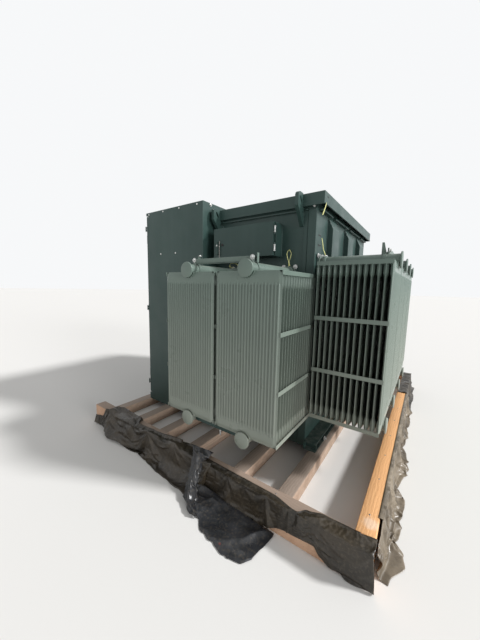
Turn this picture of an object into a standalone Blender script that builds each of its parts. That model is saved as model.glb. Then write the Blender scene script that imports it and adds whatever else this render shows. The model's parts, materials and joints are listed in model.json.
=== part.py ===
# Oil-filled power transformer with panel radiators, standing on a timber skid.
# Metres, +Z up. The terminal compartment faces -Y, the rear radiators face +Y.
# The origin is on the ground, on the centre line of the transformer.

import math

import bmesh
import bpy
from mathutils import Matrix, Vector

# Clearances, overruns and round counts that several pieces share
seat_gap = 0.0003
overlap = 0.001
overrun = 0.020
weld_distance = 0.00001
pipe_sides = 8
cap_sides = 12
hole_sides = 8
knuckle_sides = 12

# Timber skid
timber_width = 0.110
timber_height = 0.100
timber_front_edges = (-1.244, -0.850, -0.460, -0.062, 0.431, 0.816)
curb_width = 0.100
curb_height = 0.200
skid_half_width = 1.720
skid_front = -1.260
skid_rear = 1.427

# Tank
tank_width = 1.832
tank_rear = 0.769
stiffener_width = 0.200
stiffener_depth = 0.050
stiffener_slope = 0.110
stiffener_rise = 0.260
corner_strip_width = 0.070
corner_strip_thickness = 0.008

# Lid with its deep skirt
lid_top = 2.220
lid_plate = 0.006
lid_skirt = 0.097
lid_overhang_side = 0.034
lid_overhang_rear = 0.065

# Terminal compartment
compartment_width = 2.258
compartment_depth = 0.877
compartment_height = 2.180
compartment_rear = -0.262
door_thickness = 0.040
door_margin = 0.030
door_split = 0.008
sill_height = 0.080
door_hinge_radius = 0.010
door_hinge_length = 0.090
door_hinge_level_share = (0.12, 0.50, 0.88)
door_handle_inset = 0.060
door_handle_rise = 0.980
door_handle_width = 0.026
door_handle_length = 0.240
door_handle_standoff = 0.022
door_handle_grip = 0.010

# Lifting lugs
lug_thickness = 0.034
lug_reach = 0.095
lug_proud = 0.006
lug_length = 0.254
lug_heel = 0.012
lug_nose = 0.173
lug_corner = 0.012
lug_eye_radius = 0.014
lug_eye_inset = 0.026
lug_eye_drop = 0.050
lug_hole_radius = 0.008
lug_hole_inset = 0.059
lug_hole_drop = 0.149
lug_front_y = -0.215
lug_rear_y = 0.645

# Instrument box on the tank side
box_front = -0.170
box_rear = 0.470
box_drop = 0.109
box_height = 0.272
box_depth = 0.130
box_wall = 0.012
door_leaf = 0.018
door_leaf_gap = 0.006
door_leaf_edge = 0.002
knuckle_radius = 0.006
knuckle_length = 0.036
knuckle_inset = 0.030
knuckle_offset = 0.008
hinge_leaf_width = 0.030
hinge_leaf_thickness = 0.003
latch_inset = 0.052
latch_rise = 0.034
latch_length = 0.118
latch_width = 0.010
latch_standoff = 0.014
latch_rod = 0.008

# Panel radiators
panel_width = 0.520
panel_pitch = 0.0405
panel_thickness = 0.012
edge_relief = 0.0003
panel_bevel = 0.016
side_radiators = 2
rear_radiators = 4
side_panels = 15
rear_panels = 13
side_panel_bottom = 0.422
rear_panel_bottom = 0.467
side_header_clearance = 0.139
rear_header_clearance = 0.430
radiator_gap = 0.025
side_radiator_front = -0.250
header_radius = 0.034
header_rise = 0.016
header_drop = 0.021
cap_radius = 0.060
cap_thickness = 0.012
cap_reach = 0.023
flange_radius = 0.055
flange_thickness = 0.026
valve_reach = 0.078
valve_radius = 0.046
valve_thickness = 0.024
valve_gap = 0.008
edge_band = 0.036
band_inset = 0.004
spacer_height = 0.030
spacer_thickness = 0.005
spacer_level_share = (0.325, 0.656)
flute_count = 7
flute_pitch = 0.0725
flute_width = 0.056
flute_crown = 0.030
flute_rise = 0.006
flute_margin = 0.075
flute_taper = 0.034

# Tie bars between neighbouring radiators
tie_thickness = 0.008
tie_height = 0.036
tie_rise = 0.085
tie_setback = 0.070
tie_foot_width = 0.030
rail_height = 0.050
rail_setback = 0.045

# Base channel at the foot of the tank's rear wall
channel_depth = 0.110
channel_height = 0.070
channel_web = 0.008
channel_half_length = 0.960
gusset_count = 5
gusset_inset = 0.050

# Torn plastic sheet round the skid
sheet_thickness = 0.005
sheet_cover = 0.045
sheet_lift = 0.004
drape_far_x = -0.750
drape_near_x = 1.600
drape_reach = 0.170
drape_reach_shares = (0.35, 0.52, 0.41, 0.41, 0.59, 0.76, 0.71, 0.88)
flap_front = 0.200
flap_length = 0.700
flap_reach = 0.310
flap_thickness = 0.010
flap_reach_shares = (0.00, 0.43, 0.75, 0.96, 1.00, 0.83, 0.31, 0.00)
flap_length_shares = (0.00, 0.09, 0.37, 0.54, 0.77, 0.94, 0.99, 0.91)
fold_reach = 0.120
fold_width = 0.090

# Places worked out from the sizes above
tank_half = tank_width / 2
tank_front = compartment_rear + seat_gap
deck = timber_height + seat_gap
tank_top = lid_top - lid_plate - seat_gap
skirt_bottom = lid_top - lid_skirt
lid_half = tank_half + lid_overhang_side
lid_rear = tank_rear + lid_overhang_rear
lug_top = lid_top + lug_proud
box_bottom = skirt_bottom - box_drop - box_height
side_panel_height = box_bottom - side_header_clearance - header_rise - side_panel_bottom
rear_panel_height = skirt_bottom - rear_header_clearance - header_rise - rear_panel_bottom
header_spacing = panel_width + radiator_gap
side_header_y = [
    side_radiator_front + panel_width / 2 + i * header_spacing for i in range(side_radiators)
]
rear_header_x = [((rear_radiators - 1) / 2 - i) * header_spacing for i in range(rear_radiators)]
box_face = tank_half + seat_gap + box_depth
hinge_x = box_face + door_leaf_gap + door_leaf - knuckle_radius
hinge_y = box_rear + knuckle_offset


def clear_scene():
    for obj in list(bpy.data.objects):
        bpy.data.objects.remove(obj, do_unlink=True)


def make_material(name, color, roughness, metallic=0.0):
    material = bpy.data.materials.new(name)
    material.use_nodes = True
    shader = material.node_tree.nodes["Principled BSDF"]
    shader.inputs["Base Color"].default_value = (*color, 1.0)
    shader.inputs["Roughness"].default_value = roughness
    shader.inputs["Metallic"].default_value = metallic
    material.diffuse_color = (*color, 1.0)
    return material


def make_mesh(name, bm, material):
    """Turns a bmesh into a mesh with its faces outwards."""
    bmesh.ops.recalc_face_normals(bm, faces=bm.faces)
    mesh = bpy.data.meshes.new(name)
    bm.to_mesh(mesh)
    bm.free()
    mesh.materials.append(material)
    return mesh


def place_mesh(name, mesh, location=(0, 0, 0), turn=0.0, parent=None):
    obj = bpy.data.objects.new(name, mesh)
    bpy.context.scene.collection.objects.link(obj)
    obj.location = location
    obj.rotation_euler = (0, 0, turn)
    obj.parent = parent
    return obj


def add_block(bm, low, high):
    size = Vector(high) - Vector(low)
    centre = (Vector(high) + Vector(low)) / 2
    bmesh.ops.create_cube(bm, size=1, matrix=Matrix.Translation(centre) @ Matrix.Diagonal((*size, 1)))


def add_prism(bm, outline, start, end, axis):
    """Extrudes a flat outline along an axis. A point gives the other two coordinates, X before Y before Z."""

    def point(pair, along):
        values = list(pair)
        values.insert("xyz".index(axis), along)
        return values

    face = bm.faces.new([bm.verts.new(point(pair, start)) for pair in outline])
    grown = bmesh.ops.extrude_face_region(bm, geom=[face])["geom"]
    tips = [item for item in grown if isinstance(item, bmesh.types.BMVert)]
    bmesh.ops.translate(bm, verts=tips, vec=point((0, 0), end - start))


def circle(centre, radius):
    angles = [math.tau * i / hole_sides for i in range(hole_sides)]
    return [(centre[0] + radius * math.cos(a), centre[1] + radius * math.sin(a)) for a in angles]


def add_turned(bm, profile, sides, place):
    """Adds a solid turned about X from (along, radius) pairs, whose first and last radius are 0."""
    turned = bmesh.new()
    flat_up = Matrix.Rotation(math.pi / sides, 3, "X")
    points = [turned.verts.new(flat_up @ Vector((along, 0, radius))) for along, radius in profile]
    edges = [turned.edges.new(pair) for pair in zip(points, points[1:])]
    bmesh.ops.spin(
        turned,
        geom=points + edges,
        cent=(0, 0, 0),
        axis=(1, 0, 0),
        angle=math.tau,
        steps=sides,
        use_merge=True,
    )
    bmesh.ops.remove_doubles(turned, verts=turned.verts, dist=weld_distance)
    bmesh.ops.transform(turned, matrix=place, verts=turned.verts)
    mesh = bpy.data.meshes.new("turned")
    turned.to_mesh(mesh)
    turned.free()
    bm.from_mesh(mesh)
    bpy.data.meshes.remove(mesh)


def add_barrel(bm, radius, length, foot):
    """Adds an upright hinge barrel that stands on its foot point."""
    profile = ((0, 0), (0, radius), (length, radius), (length, 0))
    upright = Matrix.Translation(foot) @ Matrix.Rotation(-math.pi / 2, 4, "Y")
    add_turned(bm, profile, knuckle_sides, upright)


def combine(mesh, others, operation):
    """Cuts meshes from a mesh, or joins them to it, and gives the result."""
    base = place_mesh("base", mesh)
    tools = []
    for other in others:
        tool = place_mesh("tool", other)
        tool.hide_render = True
        tool.display_type = "WIRE"
        modifier = base.modifiers.new("combine", "BOOLEAN")
        modifier.operation = operation
        modifier.object = tool
        tools.append(tool)
    graph = bpy.context.evaluated_depsgraph_get()
    graph.update()
    result = bpy.data.meshes.new_from_object(base.evaluated_get(graph))
    result.name = mesh.name
    for obj in tools + [base]:
        bpy.data.objects.remove(obj, do_unlink=True)
    return result


# Timber skid


def build_skid(timber):
    inner = skid_half_width - curb_width
    for number, front in enumerate(timber_front_edges, 1):
        bm = bmesh.new()
        reach = inner - seat_gap
        add_block(bm, (-reach, front, 0), (reach, front + timber_width, timber_height))
        place_mesh(f"cross_timber_{number}", make_mesh("cross_timber", bm, timber))
    for side, name in ((1, "right"), (-1, "left")):
        bm = bmesh.new()
        across = sorted((side * inner, side * skid_half_width))
        add_block(bm, (across[0], skid_front, 0), (across[1], skid_rear, curb_height))
        place_mesh(f"curb_timber_{name}", make_mesh("curb_timber", bm, timber))
    bm = bmesh.new()
    rear_inner = skid_rear - curb_width
    add_block(bm, (-inner + seat_gap, rear_inner, 0), (inner - seat_gap, skid_rear, curb_height))
    place_mesh("curb_timber_rear", make_mesh("curb_timber_rear", bm, timber))


# Torn plastic sheet


def wrap_outline(edge):
    """Section of the sheet on a curb with its outer face at this distance, down the face and over the top."""
    inner = edge + seat_gap
    top = curb_height + seat_gap
    return (
        (inner, sheet_lift),
        (inner + sheet_thickness, sheet_lift),
        (inner + sheet_thickness, top + sheet_thickness),
        (edge - sheet_cover, top + sheet_thickness),
        (edge - sheet_cover, top),
        (inner, top),
    )


def drape_mesh(plastic):
    """Sheet hanging from the rear curb's edge, with a foot that stands out differently at each station."""
    bm = bmesh.new()
    inner = skid_rear + seat_gap
    stations = len(drape_reach_shares)
    step = (drape_near_x - drape_far_x) / (stations - 1)
    sections = []
    for number, share in enumerate(drape_reach_shares):
        x = drape_far_x + number * step
        corners = ((inner, 0), (inner + share * drape_reach, 0), (inner, curb_height))
        sections.append([bm.verts.new((x, y, z)) for y, z in corners])
    for near, far in zip(sections, sections[1:]):
        for i in range(len(near)):
            bm.faces.new((near[i - 1], near[i], far[i], far[i - 1]))
    bm.faces.new(sections[0])
    bm.faces.new(sections[-1])
    bmesh.ops.triangulate(bm, faces=bm.faces)
    return make_mesh("plastic_drape", bm, plastic)


def build_sheet(plastic):
    for side, name in ((1, "right"), (-1, "left")):
        bm = bmesh.new()
        section = [(side * x, z) for x, z in wrap_outline(skid_half_width)]
        add_prism(bm, section, skid_front, skid_rear, "y")
        place_mesh(f"plastic_wrap_{name}", make_mesh("plastic_wrap", bm, plastic))
    bm = bmesh.new()
    far_x = -(skid_half_width - sheet_cover - seat_gap)
    add_prism(bm, wrap_outline(skid_rear), far_x, drape_far_x - seat_gap, "x")
    place_mesh("plastic_wrap_rear", make_mesh("plastic_wrap_rear", bm, plastic))
    place_mesh("plastic_drape_rear", drape_mesh(plastic))
    wrap_face = skid_half_width + seat_gap + sheet_thickness + seat_gap
    bm = bmesh.new()
    outline = [
        (wrap_face + out * flap_reach, flap_front + along * flap_length)
        for out, along in zip(flap_reach_shares, flap_length_shares)
    ]
    add_prism(bm, outline, 0, flap_thickness, "z")
    flap = make_mesh("plastic_flap", bm, plastic)
    bm = bmesh.new()
    rise = ((wrap_face, 0), (wrap_face + fold_reach, 0), (wrap_face, curb_height))
    add_prism(bm, rise, flap_front - fold_width / 2, flap_front + fold_width / 2, "y")
    fold = make_mesh("plastic_fold", bm, plastic)
    place_mesh("plastic_flap_right", combine(flap, [fold], "UNION"))


# Tank, lid, lugs and base channel


def build_tank(green):
    bm = bmesh.new()
    add_block(bm, (-tank_half, tank_front, deck), (tank_half, tank_rear, tank_top))
    body = make_mesh("tank", bm, green)
    parts = []
    top = skirt_bottom - overrun
    foot = deck + stiffener_rise
    for left, right in zip(rear_header_x, rear_header_x[1:]):
        x = (left + right) / 2
        bm = bmesh.new()
        outline = (
            (tank_rear - overlap, foot),
            (tank_rear, foot),
            (tank_rear + stiffener_depth, foot + stiffener_slope),
            (tank_rear + stiffener_depth, top - stiffener_slope),
            (tank_rear, top),
            (tank_rear - overlap, top),
        )
        add_prism(bm, outline, x - stiffener_width / 2, x + stiffener_width / 2, "x")
        parts.append(make_mesh("stiffener", bm, green))
    for side in (1, -1):
        bm = bmesh.new()
        across = sorted((side * (tank_half - overlap), side * (tank_half + corner_strip_thickness)))
        add_block(
            bm,
            (across[0], tank_rear - corner_strip_width, deck),
            (across[1], tank_rear, skirt_bottom - overrun),
        )
        parts.append(make_mesh("corner_strip", bm, green))
    place_mesh("tank", combine(body, parts, "UNION"))


def build_lid(green):
    bm = bmesh.new()
    add_block(bm, (-lid_half, tank_front, skirt_bottom), (lid_half, lid_rear, lid_top))
    shell = make_mesh("tank_lid", bm, green)
    bm = bmesh.new()
    inner = lid_half - lid_plate
    add_block(
        bm,
        (-inner, tank_front - overrun, skirt_bottom - overrun),
        (inner, lid_rear - lid_plate, lid_top - lid_plate),
    )
    place_mesh("tank_lid", combine(shell, [make_mesh("lid_hollow", bm, green)], "DIFFERENCE"))


def build_lugs(green):
    bottom = lug_top - lug_length
    step = lid_overhang_side + seat_gap
    outline = (
        (seat_gap, bottom),
        (lug_heel, bottom),
        (lug_reach, lug_top - lug_nose),
        (lug_reach, lug_top - lug_corner),
        (lug_reach - lug_corner, lug_top),
        (step, lug_top),
        (step, skirt_bottom - seat_gap),
        (seat_gap, skirt_bottom - seat_gap),
    )
    holes = (
        (lug_reach - lug_eye_inset, lug_top - lug_eye_drop, lug_eye_radius),
        (lug_reach - lug_hole_inset, lug_top - lug_hole_drop, lug_hole_radius),
    )
    half = lug_thickness / 2
    for side, name in ((1, "right"), (-1, "left")):
        for y, end in ((lug_front_y, "front"), (lug_rear_y, "rear")):
            bm = bmesh.new()
            placed = [(side * (tank_half + x), z) for x, z in outline]
            add_prism(bm, placed, y - half, y + half, "y")
            cuts = bmesh.new()
            for x, z, radius in holes:
                centre = (side * (tank_half + x), z)
                add_prism(cuts, circle(centre, radius), y - half - overrun, y + half + overrun, "y")
            plate = make_mesh("lifting_lug", bm, green)
            lug = combine(plate, [make_mesh("lug_holes", cuts, green)], "DIFFERENCE")
            place_mesh(f"lifting_lug_{name}_{end}", lug)


def build_channel(green):
    low = tank_rear + seat_gap
    high = low + channel_depth
    top = deck + channel_height
    outline = (
        (low, deck),
        (high, deck),
        (high, deck + channel_web),
        (low + channel_web, deck + channel_web),
        (low + channel_web, top - channel_web),
        (high, top - channel_web),
        (high, top),
        (low, top),
    )
    bm = bmesh.new()
    add_prism(bm, outline, -channel_half_length, channel_half_length, "x")
    channel = make_mesh("base_channel", bm, green)
    bm = bmesh.new()
    reach = channel_half_length - gusset_inset
    for number in range(gusset_count):
        x = reach * (2 * number / (gusset_count - 1) - 1)
        near = (x - channel_web / 2, low + channel_web - overlap, deck + channel_web - overlap)
        far = (x + channel_web / 2, high - channel_web, top - channel_web + overlap)
        add_block(bm, near, far)
    place_mesh("base_channel", combine(channel, [make_mesh("gussets", bm, green)], "UNION"))


# Terminal compartment


def door_handle_mesh(front, green):
    """Upright pull on two feet, near the meeting edge of the doors."""
    x = door_split / 2 + door_handle_inset
    low = deck + door_handle_rise
    high = low + door_handle_length
    outer = front - door_handle_standoff
    bm = bmesh.new()
    outline = (
        (front + overlap, low),
        (outer - door_handle_grip, low),
        (outer - door_handle_grip, high),
        (front + overlap, high),
        (front + overlap, high - door_handle_grip),
        (outer, high - door_handle_grip),
        (outer, low + door_handle_grip),
        (front + overlap, low + door_handle_grip),
    )
    add_prism(bm, outline, x - door_handle_width / 2, x + door_handle_width / 2, "x")
    return make_mesh("door_handle", bm, green)


def build_compartment(green):
    half = compartment_width / 2
    front = compartment_rear - compartment_depth
    top = deck + compartment_height
    bm = bmesh.new()
    add_block(bm, (-half, front + door_thickness, deck), (half, compartment_rear, top))
    body = make_mesh("compartment", bm, green)
    bm = bmesh.new()
    add_block(bm, (-half, front, deck), (half, front + door_thickness + overlap, deck + sill_height))
    sill = make_mesh("sill", bm, green)
    bm = bmesh.new()
    add_block(bm, (-half, front, top - door_margin), (half, front + door_thickness + overlap, top))
    head = make_mesh("head", bm, green)
    place_mesh("terminal_compartment", combine(body, [sill, head], "UNION"))
    for side, name in ((1, "right"), (-1, "left")):
        bm = bmesh.new()
        across = sorted((side * door_split / 2, side * (half - door_split)))
        low = (across[0], front, deck + sill_height + door_split)
        high = (across[1], front + door_thickness - seat_gap, top - door_margin - door_split)
        add_block(bm, low, high)
        door = make_mesh("compartment_door", bm, green)
        fittings = bmesh.new()
        hinge_place = side * (half - door_split - door_hinge_radius)
        for share in door_hinge_level_share:
            z = low[2] + share * (high[2] - low[2]) - door_hinge_length / 2
            add_barrel(fittings, door_hinge_radius, door_hinge_length, (hinge_place, front, z))
        parts = [make_mesh("door_hinges", fittings, green)]
        if side == 1:
            parts.append(door_handle_mesh(front, green))
        place_mesh(f"compartment_door_{name}", combine(door, parts, "UNION"))


# Instrument box


def latch_mesh(green):
    """Upright latch rod on two feet, near the door's front edge, in the door's own place."""
    y = box_front - hinge_y + latch_inset
    face = knuckle_radius
    outer = face + latch_standoff
    low = latch_rise
    high = low + latch_length
    outline = (
        (face - overlap, low),
        (outer + latch_rod, low),
        (outer + latch_rod, high),
        (face - overlap, high),
        (face - overlap, high - latch_rod),
        (outer, high - latch_rod),
        (outer, low + latch_rod),
        (face - overlap, low + latch_rod),
    )
    bm = bmesh.new()
    add_prism(bm, outline, y - latch_width / 2, y + latch_width / 2, "y")
    return make_mesh("latch", bm, green)


def build_instrument_box(green):
    """Shallow box open towards +X, and its door on two hinges at the rear edge."""
    low_x = tank_half + seat_gap
    top = box_bottom + box_height
    bm = bmesh.new()
    add_block(bm, (low_x, box_front, box_bottom), (box_face, box_rear, top))
    shell = make_mesh("instrument_box", bm, green)
    bm = bmesh.new()
    add_block(
        bm,
        (low_x + box_wall, box_front + box_wall, box_bottom + box_wall),
        (box_face + overrun, box_rear - box_wall, top - box_wall),
    )
    shell = combine(shell, [make_mesh("box_hollow", bm, green)], "DIFFERENCE")
    bm = bmesh.new()
    rear_edge = box_rear - door_leaf_edge - hinge_y
    near = (knuckle_radius - door_leaf, box_front - hinge_y, 0)
    add_block(bm, near, (knuckle_radius, rear_edge, box_height))
    leaf = make_mesh("instrument_box_door", bm, green)
    hinge_levels = (knuckle_inset, box_height - knuckle_inset - 2 * knuckle_length)
    leaves = bmesh.new()
    knuckles = bmesh.new()
    door_leaves = bmesh.new()
    door_knuckles = bmesh.new()
    half = hinge_leaf_thickness / 2
    for level in hinge_levels:
        upper = level + knuckle_length + seat_gap
        add_barrel(door_knuckles, knuckle_radius, knuckle_length, (0, 0, level))
        add_block(door_leaves, (-half, rear_edge - overlap, level), (half, 0, level + knuckle_length))
        add_barrel(knuckles, knuckle_radius, knuckle_length, (hinge_x, hinge_y, box_bottom + upper))
        add_block(
            leaves,
            (box_face - hinge_leaf_width, box_rear - overlap, box_bottom + upper),
            (hinge_x, box_rear + hinge_leaf_thickness, box_bottom + upper + knuckle_length),
        )
    fixed = [make_mesh("hinge_leaf", piece, green) for piece in (leaves, knuckles)]
    place_mesh("instrument_box", combine(shell, fixed, "UNION"))
    axis = place_mesh("instrument_door_axis", None, location=(hinge_x, hinge_y, box_bottom))
    moving = [make_mesh("hinge_leaf", piece, green) for piece in (door_leaves, door_knuckles)]
    moving.append(latch_mesh(green))
    place_mesh("instrument_box_door", combine(leaf, moving, "UNION"), parent=axis)


# Panel radiators


def radiator_reach(count):
    return valve_reach + (count - 1) * panel_pitch + panel_thickness


def add_panel(bm, x, half_width, height):
    """Pressed panel, thin at its two upright edges."""
    half = panel_thickness / 2
    flat = panel_width / 2 - panel_bevel
    outline = (
        (x - half, -flat),
        (x, -half_width),
        (x + half, -flat),
        (x + half, flat),
        (x, half_width),
        (x - half, flat),
    )
    add_prism(bm, outline, 0, height, "z")


def add_flute(bm, face, y, height):
    """Oil channel pressed out of a panel's face: a crown with four sloping sides."""
    foot = flute_margin
    crown_foot = foot + flute_taper
    rings = (
        (face - overlap, flute_width / 2, foot, height - foot),
        (face + flute_rise, flute_crown / 2, crown_foot, height - crown_foot),
    )
    base, crown = (
        [bm.verts.new((x, y + side * half, z)) for side, z in ((-1, low), (1, low), (1, high), (-1, high))]
        for x, half, low, high in rings
    )
    bm.faces.new(base)
    bm.faces.new(crown)
    for i in range(len(base)):
        bm.faces.new((base[i - 1], base[i], crown[i], crown[i - 1]))


def add_disc(bm, start, end, radius, z, sides, turn=0.0):
    profile = ((start, 0), (start, radius), (end, radius), (end, 0))
    place = Matrix.Translation((0, 0, z)) @ Matrix.Rotation(turn, 4, "X")
    add_turned(bm, profile, sides, place)


def radiator_mesh(name, count, height, green):
    """Radiator standing out along X from its wall seat at x 0, centred on Y, its panels' foot at z 0.

    The edge bars are welded to the first and last panel, and the others stop just short of them."""
    inner = valve_reach
    outer = radiator_reach(count)
    bm = bmesh.new()
    for number in range(count):
        at_end = number in (0, count - 1)
        half_width = panel_width / 2 - (0 if at_end else overlap + edge_relief)
        add_panel(bm, inner + panel_thickness / 2 + number * panel_pitch, half_width, height)
    panels = make_mesh(name, bm, green)
    cap_front = outer + cap_reach
    cap_back = cap_front - cap_thickness
    pipes = bmesh.new()
    discs = bmesh.new()
    pipe_profile = (
        (flange_thickness / 2, 0),
        (flange_thickness / 2, header_radius),
        (cap_back + overlap, header_radius),
        (cap_back + overlap, 0),
    )
    valve_end = inner - valve_gap
    half_side = math.pi / pipe_sides
    for z in (-header_drop, height + header_rise):
        add_turned(pipes, pipe_profile, pipe_sides, Matrix.Translation((0, 0, z)))
        add_disc(discs, seat_gap, flange_thickness, flange_radius, z, pipe_sides, half_side)
        add_disc(discs, valve_end - valve_thickness, valve_end, valve_radius, z, pipe_sides, half_side)
        add_disc(discs, cap_back, cap_front, cap_radius, z, cap_sides)
    levels = [(band_inset, edge_band), (height - edge_band, height - band_inset)]
    for share in spacer_level_share:
        middle = height * share
        levels.append((middle - spacer_height / 2, middle + spacer_height / 2))
    bars = bmesh.new()
    for side in (1, -1):
        near = panel_width / 2 - overlap
        across = sorted((side * near, side * (near + spacer_thickness)))
        for low, high in levels:
            add_block(bars, (inner, across[0], low), (outer, across[1], high))
    flutes = bmesh.new()
    for number in range(flute_count):
        y = (number - (flute_count - 1) / 2) * flute_pitch
        add_flute(flutes, outer, y, height)
    frame = [make_mesh("radiator_frame", piece, green) for piece in (pipes, discs, bars, flutes)]
    return combine(panels, frame, "UNION")


def build_radiators(green):
    side_mesh = radiator_mesh("side_radiator", side_panels, side_panel_height, green)
    rear_mesh = radiator_mesh("rear_radiator", rear_panels, rear_panel_height, green)
    for side, name, turn in ((1, "right", 0), (-1, "left", math.pi)):
        for number, y in enumerate(side_header_y, 1):
            place = (side * tank_half, y, side_panel_bottom)
            place_mesh(f"radiator_{name}_{number}", side_mesh, place, turn)
    for number, x in enumerate(rear_header_x, 1):
        place_mesh(f"radiator_rear_{number}", rear_mesh, (x, tank_rear, rear_panel_bottom), math.pi / 2)


def tie_mesh(name, header_places, base, foot_length, green):
    """Flat bar along Y over the headers, on a foot over each of them, at x 0."""
    bm = bmesh.new()
    low = min(header_places) - tie_foot_width / 2
    high = max(header_places) + tie_foot_width / 2
    foot_top = base + foot_length
    add_block(bm, (-tie_thickness / 2, low, foot_top), (tie_thickness / 2, high, foot_top + tie_height))
    bar = make_mesh(name, bm, green)
    feet = []
    for y in header_places:
        bm = bmesh.new()
        add_block(
            bm,
            (-tie_thickness / 2, y - tie_foot_width / 2, base),
            (tie_thickness / 2, y + tie_foot_width / 2, foot_top + overlap),
        )
        feet.append(make_mesh("tie_foot", bm, green))
    return combine(bar, feet, "UNION")


def build_ties(green):
    flat_radius = header_radius * math.cos(math.pi / pipe_sides)
    side_outer = tank_half + radiator_reach(side_panels)
    rear_outer = tank_rear + radiator_reach(rear_panels)
    foot_length = tie_rise - tie_height - flat_radius
    side_header = side_panel_bottom + side_panel_height + header_rise
    rear_header = rear_panel_bottom + rear_panel_height + header_rise
    side_base = side_header + flat_radius + seat_gap
    side_mesh = tie_mesh("side_tie", side_header_y, side_base, foot_length, green)
    places = [-x for x in rear_header_x]
    rear_base = rear_header + flat_radius + seat_gap
    rear_mesh = tie_mesh("rear_tie", places, rear_base, foot_length, green)
    rail_top = side_panel_bottom - seat_gap
    for side, name in ((1, "right"), (-1, "left")):
        place_mesh(f"radiator_tie_{name}", side_mesh, (side * (side_outer - tie_setback), 0, 0))
        bm = bmesh.new()
        x = side * (side_outer - rail_setback)
        add_block(
            bm,
            (x - tie_thickness / 2, side_header_y[0] + header_radius + seat_gap, rail_top - rail_height),
            (x + tie_thickness / 2, side_header_y[1] - header_radius - seat_gap, rail_top),
        )
        place_mesh(f"radiator_rail_{name}", make_mesh("radiator_rail", bm, green))
    place_mesh("radiator_tie_rear", rear_mesh, (0, rear_outer - tie_setback, 0), math.pi / 2)


def main():
    clear_scene()
    green = make_material("dark_green_paint", (0.045, 0.075, 0.065), 0.4)
    sage = make_material("radiator_paint", (0.12, 0.17, 0.14), 0.5)
    timber = make_material("timber", (0.42, 0.22, 0.10), 0.8)
    plastic = make_material("plastic_wrap", (0.03, 0.035, 0.022), 0.4)
    build_skid(timber)
    build_sheet(plastic)
    build_tank(green)
    build_lid(green)
    build_lugs(green)
    build_channel(green)
    build_compartment(green)
    build_instrument_box(green)
    build_radiators(sage)
    build_ties(sage)


main()
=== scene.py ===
import json
import math
import bpy
import bmesh
from mathutils import Matrix, Vector, noise


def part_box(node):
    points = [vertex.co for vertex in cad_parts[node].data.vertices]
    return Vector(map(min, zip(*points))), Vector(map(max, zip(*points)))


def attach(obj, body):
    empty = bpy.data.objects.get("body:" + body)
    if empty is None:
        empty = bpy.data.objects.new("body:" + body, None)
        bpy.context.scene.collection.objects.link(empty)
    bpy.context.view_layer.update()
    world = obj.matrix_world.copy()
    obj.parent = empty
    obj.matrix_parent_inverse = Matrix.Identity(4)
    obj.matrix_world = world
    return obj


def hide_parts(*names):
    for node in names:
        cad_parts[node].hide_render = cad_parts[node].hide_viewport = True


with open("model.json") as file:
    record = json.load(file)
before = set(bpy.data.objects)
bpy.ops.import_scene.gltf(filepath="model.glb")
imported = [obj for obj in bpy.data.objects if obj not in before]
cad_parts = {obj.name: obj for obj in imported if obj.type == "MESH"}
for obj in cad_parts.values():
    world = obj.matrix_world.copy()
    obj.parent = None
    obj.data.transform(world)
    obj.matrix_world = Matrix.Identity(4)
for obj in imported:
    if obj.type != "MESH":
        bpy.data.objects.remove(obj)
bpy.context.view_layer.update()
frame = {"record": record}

nodeNames = [subpart["node"] for subpart in frame["record"]["subparts"]]
seatGap = 0.0003        # gap that touching pieces keep
print("frame loaded:", len(nodeNames), "nodes")


# camera and stage

camera = {
    "location": (3.0116, 1.5318, 1.4766),
    "turn": (82.838, -1.152, 125.547),
    "focalPixels": 261.56,
    "longSidePixels": 640,
    "sensor": 36.0,
    "clipEnd": 400,
}


def addObject(name, data):
    made = bpy.data.objects.new(name, data)
    bpy.context.collection.objects.link(made)
    return made


def buildCamera():
    data = bpy.data.cameras.new("photoCamera")
    data.sensor_fit = "AUTO"
    data.sensor_width = camera["sensor"]
    data.lens = camera["focalPixels"] / camera["longSidePixels"] * camera["sensor"]
    data.clip_end = camera["clipEnd"]
    eye = addObject("photoCamera", data)
    eye.location = camera["location"]
    eye.rotation_euler = [math.radians(angle) for angle in camera["turn"]]
    bpy.context.scene.camera = eye


buildCamera()
print("camera set")


# node and mesh helpers

def setSocket(tree, socket, value):        # links a node's output, or sets a plain value
    if isinstance(value, bpy.types.NodeSocket):
        tree.links.new(value, socket)
    else:
        socket.default_value = (*value[:3], 1) if socket.type == "RGBA" else value


def newMaterial(name, **sockets):
    material = bpy.data.materials.new(name)
    material.use_nodes = True
    tree = material.node_tree
    shader = tree.nodes["Principled BSDF"]
    for socket, value in sockets.items():
        setSocket(tree, shader.inputs[socket.replace("_", " ")], value)
    return material, tree, shader


def addNode(tree, kind, inputs=None, **settings):
    made = tree.nodes.new(kind)
    for key, value in settings.items():
        setattr(made, key, value)
    for key, value in (inputs or {}).items():
        setSocket(tree, made.inputs[key], value)
    return made


def objectPlace(tree, scale=(1, 1, 1)):
    place = addNode(tree, "ShaderNodeTexCoord").outputs["Object"]
    return addNode(tree, "ShaderNodeMapping", {"Vector": place, "Scale": scale}).outputs[0]


def noiseShare(tree, scale, low=0.35, high=0.65, detail=4.0, squeeze=(1, 1, 1)):
    inputs = {"Vector": objectPlace(tree, squeeze), "Scale": scale, "Detail": detail, "Roughness": 0.55}
    return stretch(tree, addNode(tree, "ShaderNodeTexNoise", inputs).outputs["Fac"], low, high)


def stretch(tree, value, low, high, start=0.0, end=1.0):
    inputs = {"Value": value, "From Min": low, "From Max": high, "To Min": start, "To Max": end}
    return addNode(tree, "ShaderNodeMapRange", inputs, clamp=True).outputs[0]


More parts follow.
